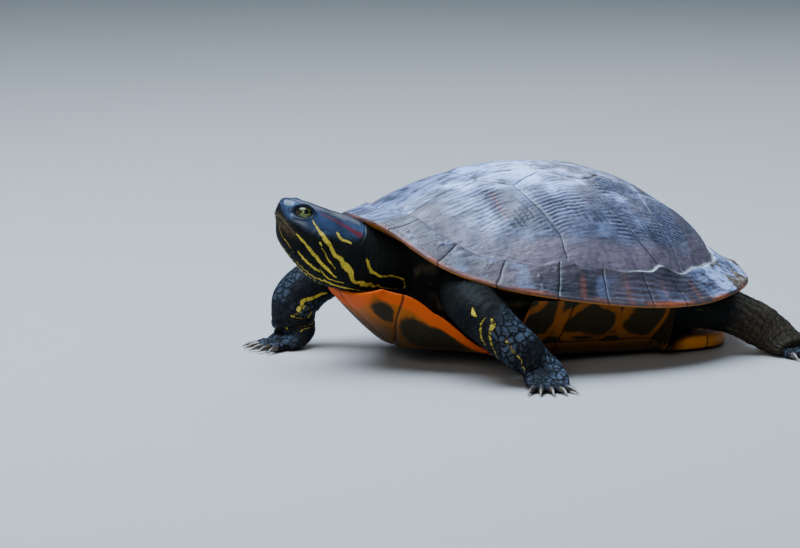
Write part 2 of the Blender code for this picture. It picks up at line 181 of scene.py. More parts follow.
def facingUp(points, faces, probe):
    # turns every face round when the probed one looks down
    a, b, c = points[faces[probe][0]], points[faces[probe][1]], points[faces[probe][-1]]
    return faces[:, ::-1] if np.cross(b - a, c - a)[2] < 0 else faces


def outsideOut(points, quads, triangles):
    # turns every face round when the volume that they enclose comes out below nothing
    every = np.concatenate([quads[:, :3], quads[:, [0, 2, 3]], triangles])
    a, b, c = (points[every[:, i]] for i in range(3))
    if np.sum(a * np.cross(b, c)) < 0:
        return quads[:, ::-1], triangles[:, ::-1]
    return quads, triangles


def closedTube(grid):
    # points and faces of a tube of rings, with a point in the middle of each end
    rows, size = grid.shape[:2]
    points = np.concatenate([grid.reshape(-1, 3), grid[:1].mean(1), grid[-1:].mean(1)])
    first = fanFaces(np.arange(size), rows * size, True)
    last = fanFaces(np.arange(size) + (rows - 1) * size, rows * size + 1, False)
    return points, *outsideOut(points, gridFaces(rows, size), np.concatenate([first, last]))


def setField(mesh, name, value):
    mesh.attributes[name].data.foreach_set("value", np.asarray(value, np.float32).ravel())


def makeMesh(name, points, quads, others, fields):
    # a smooth mesh of points in the body's frame, four-sided faces, others, and named numbers for each point
    mesh = bpy.data.meshes.new(name)
    faces = quads.tolist() + [[int(corner) for corner in face] for face in others]
    mesh.from_pydata(((points + bodyPlace) * mm).tolist(), [], faces)
    for key, value in fields.items():
        mesh.attributes.new(key, "FLOAT", "POINT")
        setField(mesh, key, value)
    mesh.shade_smooth()
    mesh.update()
    return mesh


def addToScene(name, data):
    new = bpy.data.objects.new(name, data)
    bpy.context.scene.collection.objects.link(new)
    return new


def makePiece(name, mesh, material, nodes):
    piece = addToScene(name, mesh)
    mesh.materials.append(material)
    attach(piece, "root")
    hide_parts(*nodes)
    triangles = sum(len(face.vertices) - 2 for face in mesh.polygons)
    print("made", name, len(mesh.vertices), "points", triangles, "triangles")


# how the body stands: the shell's own frame, the head's own frame and the place on the floor
stance = dict(
    shellHeight=41.0,             # side rim above the floor
    shellPitch=7.5,               # degrees, front up
    noseTip=(-6.0, -162.5, 99.3),
    headPitch=32.0,               # degrees, nose up
    headYaw=13.0,                 # degrees towards the animal's right
)


def sineCosine(degrees):
    return math.sin(math.radians(degrees)), math.cos(math.radians(degrees))


def pitched(p, degrees):
    # turned about the x axis with the front up
    s, c = sineCosine(degrees)
    x, y, z = p[..., 0], p[..., 1], p[..., 2]
    return np.stack([x, y * c + z * s, z * c - y * s], -1)


def shellToBody(p):
    return pitched(p, stance["shellPitch"]) + [0, 0, stance["shellHeight"]]


def headToBody(p):
    s, c = sineCosine(stance["headYaw"])
    p = pitched(p, stance["headPitch"])
    x, y, z = p[..., 0], p[..., 1], p[..., 2]
    return np.stack([x * c + y * s, y * c - x * s, z], -1) + stance["noseTip"]


eye = dict(
    place=(8.4, 13.2, -1.8),      # left eye in the head's frame: outwards, back from the nose, up
    radius=5.0,
    cornea=0.22,                  # how much fuller its front is
    opened=(0.44, 0.16),          # how far the opening looks forward and up, as parts of its outward run
    gaze=(0.08, 0.31),            # the same two for the iris, which lies further back in the opening
    roll=26.0,                    # degrees, so that the opening lies level although the head is raised
    opening=(4.8, 3.3),           # half length and half height between the lids
)

eyeBoxes = np.array([[tuple(c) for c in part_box(n)] for n in ("eye_left", "eye_right")]) / mm
bodyPlace = eyeBoxes.mean(axis=(0, 1)) - headToBody(np.array([0.0, *eye["place"][1:]]))
print("body stands at", np.round(bodyPlace, 2))


finishing = {}      # the tree of the finish that is being made


def put(kind, inputs, output=0, **settings):
    # a node's output; an input takes a value or another node's output
    new = finishing["tree"].nodes.new("ShaderNode" + kind)
    for key, value in settings.items():
        setattr(new, key, value)
    for socket, value in inputs.items():
        if isinstance(value, bpy.types.NodeSocket):
            finishing["tree"].links.new(value, new.inputs[socket])
        else:
            new.inputs[socket].default_value = value
    return new.outputs[output]


def mixed(share, a, b):
    # colour a where the share is 0 and colour b where it is 1
    a, b = ((*v, 1.0) if isinstance(v, tuple) else v for v in (a, b))
    return put("Mix", {0: share, 6: a, 7: b}, 2, data_type="RGBA")


def layered(base, *layers):
    # colours laid over the base one after the other, each with its share
    for share, tone in layers:
        base = mixed(share, base, tone)
    return base


def calc(operation, a, b=0.0):
    return put("Math", {0: a, 1: b}, operation=operation)


def times(a, b):
    return calc("MULTIPLY", a, b)


def plus(a, b):
    return calc("ADD", a, b)


def sizeOf(a):
    return calc("ABSOLUTE", a)


def between(value, low, high, start=0.0, end=1.0):
    # the value's run from low to high, laid out from start to end and held there
    return put("MapRange", {0: value, 1: low, 2: high, 3: start, 4: end})


def field(name):
    return put("Attribute", {}, "Fac", attribute_name=name)


def grain(scale, detail, rough=0.6, stretch=(1, 1, 1)):
    # noise in the object's own metres, stretched when asked
    place = put("Mapping", {"Vector": put("TexCoord", {}, "Object"), "Scale": stretch})
    return put("TexNoise", {"Vector": place, "Scale": scale, "Detail": detail, "Roughness": rough})


def cells(scale, bend=0.0):
    # how far inside its irregular cell each place lies, in cells; the borders bend by so many metres
    place = put("TexCoord", {}, "Object")
    if bend:
        sway = put("TexNoise", {"Vector": place, "Scale": scale * 0.9, "Detail": 2.0}, "Color")
        sway = put("VectorMath", {0: sway, 1: (0.5, 0.5, 0.5)}, operation="SUBTRACT")
        sway = put("VectorMath", {0: sway, 1: (bend, bend, bend)}, operation="MULTIPLY")
        place = put("VectorMath", {0: place, 1: sway}, operation="ADD")
    return put("TexVoronoi", {"Vector": place, "Scale": scale}, "Distance", feature="DISTANCE_TO_EDGE")


def bumps(*layers):
    # bumps of these heights and depths in metres, each over the one before
    normal = None
    for height, depth in layers:
        below = {} if normal is None else {"Normal": normal}
        normal = put("Bump", {"Height": height, "Distance": depth, "Strength": 1.0, **below})
    return normal


def newFinish(name, coat=0.0, coatRough=0.2, specular=0.5):
    finish = bpy.data.materials.new(name)
    finish.use_nodes = True
    finishing["tree"] = finish.node_tree
    inputs = finish.node_tree.nodes["Principled BSDF"].inputs
    inputs["Coat Weight"].default_value = coat
    inputs["Coat Roughness"].default_value = coatRough
    inputs["Specular IOR Level"].default_value = specular
    return finish


def wear(finish, base, rough, normal, coat=None):
    # links what has been worked out to the finish's shader
    shader = finish.node_tree.nodes["Principled BSDF"]
    for name, output in (("Base Color", base), ("Roughness", rough), ("Normal", normal),
                         ("Coat Weight", coat)):
        if output is not None:
            finish.node_tree.links.new(output, shader.inputs[name])
    return finish


hornLook = dict(
    black=(0.0110, 0.0115, 0.0170),
    brown=(0.118, 0.088, 0.104),
    # painted bluish glint on the crests of the growth ridges
    ridge=(0.190, 0.215, 0.340),
    paintedGlare=(0.400, 0.525, 0.930),      # painted bluish sky glare over the upper front and the higher parts of the shell
    orange=(0.46, 0.095, 0.006),
    underside=(0.30, 0.105, 0.008),
    mud=(0.085, 0.058, 0.036),
    seam=(0.004, 0.004, 0.005),
    scale=(0.42, 0.45, 0.46),        # pale deposit in the rear seam
)


def carapaceHorn():
    # dark plates: brown clouds, growth ridges with a painted glint on their crests, near-black seams, a
    # painted bluish sky glare and mud
    finish = newFinish("carapace horn", coatRough=0.13, specular=0.28)
    look = hornLook
    clouds, fine = grain(26, 5), grain(420, 5)
    scratches = grain(260, 4, stretch=(1, 0.16, 1))
    striae = grain(300, 3, 0.5, stretch=(1, 1, 0.12))
    brown = times(field("low"), between(striae, 0.30, 0.70, 0.25, 1.0))
    brown = plus(between(clouds, 0.38, 0.68, 0, 0.55), brown)
    # painted glint on the crests of the growth ridges
    crestGlint = times(field("ridge"), between(fine, 0.3, 0.7, 0.2, 0.8))
    # painted glare: the bluish sky glare of the dome and rim, broken into patches; the same share sets the
    # coat
    patchy = plus(between(grain(55, 5), 0.30, 0.70, -0.42, 0.42), between(scratches, 0.30, 0.70, -0.45, 0.45))
    paintedGlare = times(field("paintedGlare"), between(patchy, -0.32, 0.32, 0.12, 1.35))
    warm = times(field("orange"), between(fine, 0.30, 0.62, 0.35, 1.0))
    under = between(plus(field("belly"), between(clouds, 0, 1, -0.12, 0.12)), 0.42, 0.55)
    dirt = between(plus(field("mud"), between(fine, 0, 1, -0.35, 0.35)), 0.30, 0.55)
    seam = calc("MINIMUM", sizeOf(field("crossSeam")), sizeOf(field("longSeam")))
    pale = times(field("paleSeam"), between(fine, 0.33, 0.55, 0.25, 0.95))
    pale = times(pale, between(field("edgeGap"), 0.35, 0.65, 1.0, 0.0))
    base = layered(mixed(between(brown, 0, 1.1), look["black"], look["brown"]),
                   # painted glint on the ridges' crests, then the painted sky glare
                   (crestGlint, look["ridge"]), (between(paintedGlare, 0.03, 1.0, 0.0, 0.95), look["paintedGlare"]),
                   (warm, look["orange"]), (times(field("under"), under), look["underside"]),
                   (dirt, look["mud"]), (between(seam, 0.10, 0.45, 0.85, 0.0), look["seam"]),
                   (pale, look["scale"]))
    rough = plus(between(grain(90, 5), 0.25, 0.75, 0.30, 0.52), times(dirt, 0.35))
    normal = bumps((between(seam, 0.0, 0.7), 0.00045), (grain(150, 4, 0.55, stretch=(1, 0.35, 1)), 0.0011),
                   (scratches, 0.00050), (striae, 0.00020), (fine, 0.00025))
    return wear(finish, base, rough, normal, coat=between(paintedGlare, 0.05, 0.7, 0.06, 1.0))


bellyLook = dict(
    orange=(0.34, 0.088, 0.004),
    # painted light: the brighter orange of the lit lip along the front lobe
    edge=(0.54, 0.072, 0.002),
    rear=(0.62, 0.210, 0.016),       # painted light: the lighter orange of the rear lobe's lit outer wall
    brown=(0.050, 0.022, 0.0025),
    black=(0.0110, 0.0095, 0.0030),
    seam=(0.020, 0.008, 0.004),
)


def plastronHorn():
    # orange plates with brown clouds, painted shade low down and on the bridges, painted light on the front
    # lip and on the rear lobe's outer wall, black blotches with soft ragged edges and dark seams
    finish = newFinish("plastron horn", specular=0.12)
    look = bellyLook
    clouds, fine = grain(38, 5), grain(380, 5)
    ragged = plus(field("blotch"), between(fine, 0.2, 0.8, -0.7, 0.7))
    ragged = plus(ragged, between(clouds, 0.2, 0.8, -1.2, 1.2))
    seam = calc("MINIMUM", sizeOf(field("crossSeam")), sizeOf(field("longSeam")))
    base = layered(mixed(between(clouds, 0.40, 0.75, 0.0, 0.7), look["orange"], look["brown"]),
                   (field("shade"), look["brown"]),
                   # painted light along the front lobe's lip
                   (between(field("litLipBand"), 0.25, 0.75, 0.0, 0.9), look["edge"]),
                   # painted light on the rear lobe's outer wall
                   (times(field("litRearWall"), between(clouds, 0.2, 0.8, 0.6, 1.0)), look["rear"]),
                   (between(ragged, -0.6, 0.8, 0.0, 0.97), look["black"]),
                   (between(seam, 0.25, 0.8, 0.85, 0.0), look["seam"]))
    rough = between(grain(120, 5), 0.25, 0.75, 0.44, 0.64)
    lines = grain(240, 4, stretch=(0.2, 1, 1))
    normal = bumps((between(seam, 0.0, 0.9), 0.0005), (lines, 0.00022), (fine, 0.00018))
    return wear(finish, base, rough, normal)


skinLook = dict(
    black=(0.0034, 0.0042, 0.0055),
    olive=(0.0100, 0.0105, 0.0070),
    scaleSheen=(0.095, 0.123, 0.178),       # painted blue-grey sheen on the scales of the fore legs
    headSheen=(0.032, 0.055, 0.115),      # painted bluish sheen on the smooth skin of the head
    yellow=(0.66, 0.50, 0.050),
    red=(0.110, 0.012, 0.015),
    horn=(0.090, 0.062, 0.034),       # the beak's edges
    mud=(0.042, 0.031, 0.020),
    crack=(0.006, 0.006, 0.007),
)


def turtleSkin():
    # black and olive skin with a painted bluish sheen on the head and a painted blue-grey sheen on the fore
    # legs' scales, yellow lines, a dull red bar behind the eye, fine grains and large leg scales
    finish = newFinish("turtle skin", coatRough=0.20, specular=0.05)
    look = skinLook
    clouds, fine = grain(45, 5), grain(650, 4)
    pebbles, smallPebbles, scales = cells(620), cells(1150), cells(225, 0.004)
    smoothSheenHead, plate = field("smoothSheenHead"), field("plate")
    # painted sheen on the scales, strongest in their middles
    sheenOnScales = times(between(fine, 0.3, 0.7, 0.25, 0.9), between(scales, 0.06, 0.22, 0.35, 1.0))
    wobble = between(fine, 0.2, 0.8, -0.28, 0.28)
    yellow = between(plus(field("yellow"), wobble), -0.18, 0.22)
    yellow = times(yellow, between(pebbles, 0.03, 0.12, 0.55, 1.0))
    red = between(plus(field("red"), wobble), -0.8, 1.0)
    dirt = between(plus(field("dirt"), between(grain(160, 5, 0.65), 0.2, 0.8, -0.45, 0.45)), 0.35, 0.75)
    opened = times(between(scales, 0.035, 0.10, 0.95, 0.0), between(plate, 0.02, 0.1))
    crack = calc("MAXIMUM", between(field("gap"), 0.07, 0.20, 0.9, 0.0), opened)
    base = layered(mixed(between(clouds, 0.35, 0.7, 0.0, 0.85), look["black"], look["olive"]),
                   # painted bluish sheen over the head's smooth skin
                   (times(smoothSheenHead, between(clouds, 0.3, 0.7, 0.25, 1.0)), look["headSheen"]),
                   # painted blue-grey sheen on the leg scales
                   (times(plate, sheenOnScales), look["scaleSheen"]),
                   (times(field("beak"), between(fine, 0.3, 0.6, 0.3, 1.0)), look["horn"]),
                   (times(yellow, between(grain(150, 3, 0.5), 0.25, 0.6, 0.5, 1.0)), look["yellow"]),
                   (times(red, between(clouds, 0.25, 0.6, 0.45, 0.9)), look["red"]),
                   (times(dirt, 0.8), look["mud"]), (crack, look["crack"]))
    rough = plus(between(fine, 0.25, 0.75, 0.52, 0.72), times(smoothSheenHead, -0.22))
    rough = plus(rough, times(dirt, 0.2))
    soft = calc("SUBTRACT", 1.0, smoothSheenHead)
    normal = bumps((times(between(scales, 0.0, 0.16), between(plate, 0.05, 0.3)), 0.0005),
                   (times(between(pebbles, 0.0, 0.30), between(soft, 0, 1, 0.10, 1.0)), 0.00020),
                   (times(between(smallPebbles, 0.0, 0.3), between(soft, 0, 1, 0.2, 1.0)), 0.00012),
                   (fine, 0.00012))
    return wear(finish, base, rough, normal, coat=between(smoothSheenHead, 0.1, 0.7, 0.02, 0.5))


eyeLook = dict(
    iris=(0.19, 0.24, 0.022),
    irisDark=(0.020, 0.026, 0.006),
    rim=(0.32, 0.34, 0.06),       # thin bright ring round the pupil
    black=(0.004, 0.004, 0.005),
    corner=(0.050, 0.034, 0.014),
    cornerDark=(0.006, 0.006, 0.006),
    # where a tone begins and ends to give way: mm from the axis, or up from the bar's middle for the last two
    pupil=(1.40, 1.70), irisEnd=(3.15, 3.55), bar=(0.45, 0.95), shadow=(0.7, 2.0),
    rimRadius=1.9, rimWidth=0.25,
)


def turtleEye():
    # greenish-yellow ring, round pupil and the dark bar that crosses the eye level with it; the field
    # fromAxis counts mm from the eye's axis, and level counts mm above the bar's middle
    finish = newFinish("turtle eye", coat=0.3, coatRough=0.03, specular=0.4)
    look = eyeLook
    ring, level = field("fromAxis"), field("level")
    threads, patchy = grain(1400, 3), grain(700, 3)
    rim = between(sizeOf(calc("SUBTRACT", ring, look["rimRadius"])), 0.0, look["rimWidth"], 1.0, 0.0)
    outside = mixed(between(patchy, 0.42, 0.62), look["cornerDark"], look["corner"])
    base = layered(mixed(between(threads, 0.38, 0.62), look["iris"], look["irisDark"]),
                   (between(level, *look["shadow"], 0.0, 0.75), look["irisDark"]),
                   (between(sizeOf(level), *look["bar"], 0.90, 0.0), look["black"]),
                   (between(ring, *look["pupil"], 1.0, 0.0), look["black"]),
                   (times(rim, between(patchy, 0.4, 0.6, 0.0, 0.6)), look["rim"]),
                   (between(ring, *look["irisEnd"]), outside))
    rough = between(threads, 0, 1, 0.06, 0.12)
    return wear(finish, base, rough, bumps((threads, 0.00002)))


clawTones = dict(dark=(0.020, 0.016, 0.013), brown=(0.10, 0.070, 0.045), tip=(0.22, 0.16, 0.10))


def clawHorn():
    finish = newFinish("claw horn", coat=0.3)
    streaks = grain(900, 3, stretch=(1, 0.3, 1))
    base = layered(mixed(between(streaks, 0.35, 0.7), clawTones["dark"], clawTones["brown"]),
                   (between(field("tip"), 0.55, 1.0, 0.0, 0.6), clawTones["tip"]))
    rough = between(streaks, 0.2, 0.8, 0.25, 0.45)
    return wear(finish, base, rough, bumps((streaks, 0.0001)))


carapace = dict(
    length=250.0, width=191.0,
    height=70.0,                       # top above the side rim
    frontRise=29.5, frontShelf=36.0,   # the rim climbs over the neck, within this many degrees
    rearRise=18.0,
    sideBand=18.0, frontBand=10.8, rearBand=11.5,   # height of the marginal plates
    rearSwell=4.0,                     # the dome's steep rear end stands out by this much
    swellPeak=0.0433,                  # the largest value of share ** 8 * (1 - share)
    edge=2.6,                          # thickness at the rim
    tuck=1.15,                         # the dome and the rim both end this far below their common border
    sink=1.40,                         # the dome lies this far inside its bowl, below the plates' swell
    seamDepth=0.28,
    plateSwell=0.35,
    ridgeStep=2.7, ridgeDepth=0.36,    # growth ridges of the side plates
    keel=0.63, heartSink=0.35,         # the low keel, and how far the oldest part of a plate is sunk
    rimSwell=0.15, rimSink=0.35, rimSeamDepth=0.20,
    mudHeight=1.5,                     # the lumps dried on at the rear
    columns=720, domeRows=130, rimColumns=1080, slopeRows=30, lipRows=7, underRows=16,
)


def degreesFromFront(t):
    # -180 to 180 degrees, above 0 on the left side
    return np.degrees((t + math.pi) % fullTurn - math.pi)


def rimPoint(t):
    # t turns from the front over the left side to the rear: an oval squared off a little, wavy at the rear
    c = carapace
    square = 1 + 0.025 * np.sin(2 * t) ** 2
    scallop = 1 + 0.006 * ease(0.2, 0.7, -np.cos(t)) * (np.cos(11 * (math.pi - t)) - 1)
    x = c["width"] / 2 * np.sin(t) * (1 - 0.03 * np.cos(t)) * square
    y = -c["length"] / 2 * np.cos(t) * square
    z = c["frontRise"] / (1 + (np.abs(degreesFromFront(t)) / c["frontShelf"]) ** 3.6)
    z = z + c["rearRise"] * np.clip(-np.cos(t), 0, 1) ** 2.2
    return x * scallop, y * scallop, z


def bandShares(t):
    # share of the way to the rim where the dome ends, and the marginal plates' height there
    c = carapace
    ahead, behind = np.clip(np.cos(t), 0, 1) ** 2, np.clip(-np.cos(t), 0, 1) ** 2
    side = 1 - ahead - behind
    ends = np.where(np.cos(t) > 0, c["frontBand"] - 5 * ease(0.9, 1, np.cos(t)), c["rearBand"])
    return 0.87 * ahead + 0.86 * side + 0.80 * behind, ends + (c["sideBand"] - ends) * side ** 3


def domePoint(t, rho):
    # rho runs from the top to the rim: a flattened bowl down to the marginal plates, then their slope
    c = carapace
    x, y, rimZ = rimPoint(t)
    seam, band = bandShares(t)
    base = rimZ + band
    share = np.clip(rho / seam, 1e-6, 1)
    dome = base + (c["height"] - base) * (1 - share ** 2.1)
    steep = share ** 8 * (1 - share) / c["swellPeak"]
    dome = dome + c["rearSwell"] * np.clip(-np.cos(t), 0, 1) ** 4 * steep
    marginal = rimZ + band * (1 - np.clip((rho - seam) / (1 - seam), 0, 1)) ** 1.15
    return np.stack([x * rho, y * rho, np.where(rho <= seam, dome, marginal)], -1)


# the plates' borders on the left half, seen from above in the shell's frame: y and half width of the
# middle row, then x and y of the borders between the side plates; the right half mirrors them
middleRow = [(-110, 24), (-99, 23), (-88, 19.3), (-72, 20.5), (-61, 19), (-42, 30), (-21, 19.5), (2, 31),
             (20.5, 19.5), (41, 27.5), (60, 17.5), (76, 25), (93, 36), (110, 44)]
sideBorders = ([(20, -43), (31, -42), (49, -34), (60, -30), (66, -27.3), (90, -27)],
               [(20, 1), (31, 3), (48, 8), (55, 15.5), (67, 23.6), (76, 34), (90, 40)],
               [(20, 40), (27, 41), (45, 44), (62, 50), (75, 51.5), (90, 53)])
middleBorders = (-60.5, -21.0, 20.5, 60.0)
sideHearts = ((38, -52), (43, -2), (45, 35), (36, 66))         # the oldest part of each side plate
# and the marginal plates' borders, in degrees from the front
rimBorders = (4.5, 19.5, 38.4, 55.8, 72.5, 86.4, 100.3, 111.5, 124, 138, 151.5, 165.5)


def lineGap(value, at, table):
    # signed gap to a border line, whose corners are rounded by a short average
    a, b = np.array(table, float).T
    before, here, after = (np.interp(at + step, a, b) for step in (-1.5, 0, 1.5))
    line = (before + 2 * here + after) / 4
    return (value - line) / np.sqrt(1 + ((after - before) / 3) ** 2)


def nearestGap(gaps):
    # the gap nearest to 0 among those to the borders of one row, whose signs change from one to the next,
    # so that the sign changes at every seam and nowhere else and a line stays thin between the points
    signed = np.stack([gap * (-1) ** i for i, gap in enumerate(gaps)])
    return np.take_along_axis(signed, np.abs(signed).argmin(0)[None], 0)[0]


def smallest(*gaps):
    return np.minimum.reduce([np.abs(gap) + 0 * gaps[0] for gap in gaps])


def domeSeams(x, y, flat):
    # gaps to the seam beside the middle row and to the nearest seam across a row
    wave = 0.7 * grainAt(flat, 9, 3) + 0.3 * grainAt(flat, 3, 4)
    ax = np.abs(x) + wave
    along = lineGap(ax, y + wave, middleRow)
    side = nearestGap([lineGap(y + wave, ax, border) for border in sideBorders])
    dip = 2.0 * np.clip(1 - (x / 20) ** 2, 0, 1)
    middle = nearestGap([y + wave - border + dip for border in middleBorders])
    return along, np.where(along > 0, side, middle)


def seamLine(t):
    # where the marginal plates begin: steps inwards where a border of the side plates meets them
    seam, _ = bandShares(t)
    fromFront = np.abs(degreesFromFront(t))
    notch = 0.026 * peak(fromFront, 74.5, 4) + 0.030 * peak(fromFront, 108.8, 4)
    notch = notch + 0.014 * peak(fromFront, 129, 7)
    tooth = 0.004 * np.cos(fullTurn * np.interp(fromFront, rimBorders, range(len(rimBorders))))
    return seam - notch + 0.005 - tooth * ease(10, 30, fromFront)


def carapaceDome():
    # rings from the top down to the marginal plates; each point is lifted by its plate's swell, its growth
    # ridges and the low keel, and lowered at the seams
    c = carapace
    t = roundCount(c["columns"])[None, :]
    share = (np.arange(1, c["domeRows"] + 1) / c["domeRows"])[:, None]
    border = seamLine(t)
    grid = domePoint(t + 0 * share, share * border)
    x, y, z = np.moveaxis(grid, -1, 0)
    flat = np.stack([x, y, 0 * z], -1)
    along, cross = domeSeams(x, y, flat)
    edge = (1 - share) * border * np.hypot(grid[-1:, :, 0], grid[-1:, :, 1]) / border
    nearest = smallest(along, cross, edge)
    steps = np.diff(grid, axis=0, prepend=grid[:1] * 0 + [0, 0, c["height"]])
    run = np.cumsum(np.linalg.norm(steps, axis=-1), axis=0)
    # growth ridges: waves across the side plate ahead of its heart, nearly level, ragged along their run
    ax = np.abs(x)
    level = np.interp(ax, ax[:, c["columns"] // 4], run[:, c["columns"] // 4])
    ahead, rings, heart = np.zeros((3, *x.shape))
    inPlate = np.where(along > 0, 1.0, 0.0)
    for hx, hy in sideHearts:
        gap = np.hypot(ax - hx, (y - hy) * 0.9)
        reach = ease(-2, 5, hy - y) * ease(40, 24, hy - y) * ease(30, 15, np.abs(ax - hx))
        ahead = np.maximum(ahead, inPlate * reach)
        heart = np.maximum(heart, inPlate * ease(11, 5, gap))
        rings = np.maximum(rings, inPlate * ease(6, 10, gap) * ease(24, 16, gap))
    rough = grainAt(flat, 11, 5) + 0.5 * grainAt(flat, 4, 6)
    strength = np.clip(0.55 + 0.9 * grainAt(flat, 16, 7), 0.05, 1.2)
    lower = ease(16, 8, edge) * inPlate
    sideWave = ripple((level + 0.10 * (y + 40)) / c["ridgeStep"] + 0.42 * rough)
    sideWave = sideWave * (ahead + 0.22 * inPlate) * strength * (1 - 0.7 * lower)
    middleWave = ripple(x / 2.9 + 0.5 * rough) * ease(0, 3, -along) * 0.5 * strength
    ringWave = ripple(nearest / 3.1 + 0.15 * rough) * rings * 0.30
    ridge = (sideWave + middleWave + ringWave) * ease(0.8, 3.0, nearest)
    keel = c["keel"] * peak(x, 0, 6) * ease(-75, -40, y) * (0.6 + 0.4 * np.cos((y - 8) / 40 * fullTurn))
    rise = keel - c["sink"] - c["plateSwell"] * np.exp(-nearest / 7) - c["seamDepth"] * peak(nearest, 0, 0.85)
    rise = rise + c["ridgeDepth"] * ridge + 0.40 * grainAt(flat, 26, 8) + 0.32 * grainAt(flat, 9, 9)
    rise = rise - c["heartSink"] * heart * (0.6 + 0.4 * grainAt(flat, 3.5, 10))
    normal = gridNormals(grid)
    grid = moved(grid, normal * np.sign(normal[..., 2:]), rise * ease(0.0, 0.03, share))
    grid[-1] = domePoint(t[0], border[0]) - [0, 0, c["tuck"]]
    points = np.concatenate([grid.reshape(-1, 3), grid[:1].mean(1)])
    quads = facingUp(points, gridFaces(c["domeRows"], c["columns"]), -1)
    top = facingUp(points, fanFaces(np.arange(c["columns"]), len(points) - 1, True), 0)
    # painted glare: bluish sky glare painted over the upper front and, more, over the higher parts of the
    # dome; less of it on the plates' hearts, in the ridges' troughs and on the lower band
    front = ease(30, -70, y + 0.3 * x)
    high = 0.22 * ease(6, 30, z - 8) + 0.88 * ease(38, 62, z - 8)
    streak = peak((y + 55.5 - 0.10 * (ax - 42)) / math.hypot(1, 0.1), 0, 0.9)
    streak = streak * ease(31, 34, x) * ease(52, 47, x)
    paintedGlare = front * high * (1.0 + 0.6 * grainAt(flat, 18, 11)) + 0.32 * high * (1 + 1.8 * grainAt(flat, 7, 12))
    paintedGlare = np.clip(paintedGlare, 0, 1) * (1 - 0.8 * heart) * (1 - 0.6 * np.clip(-ridge, 0, 1)) * (1 - 0.75 * lower)
    fields = {
        "longSeam": np.where(edge < np.abs(along), edge, along), "crossSeam": cross,
        # where the painted glint falls on the ridges' crests
        "ridge": np.clip(0.5 + 0.5 * ridge, 0, 1) * np.clip(ahead + 0.3, 0, 1),
        "low": np.clip(lower + 0.25 * heart, 0, 1), "paintedGlare": paintedGlare, "orange": streak * 0.28,
        "under": 0 * x, "belly": 0 * x, "mud": 0 * x, "paleSeam": ease(-2, 20, y), "edgeGap": edge,
    }
    fields = {name: np.append(value.ravel(), value[0].mean()) for name, value in fields.items()}
    return makeMesh("carapace dome", shellToBody(points), quads, top, fields)


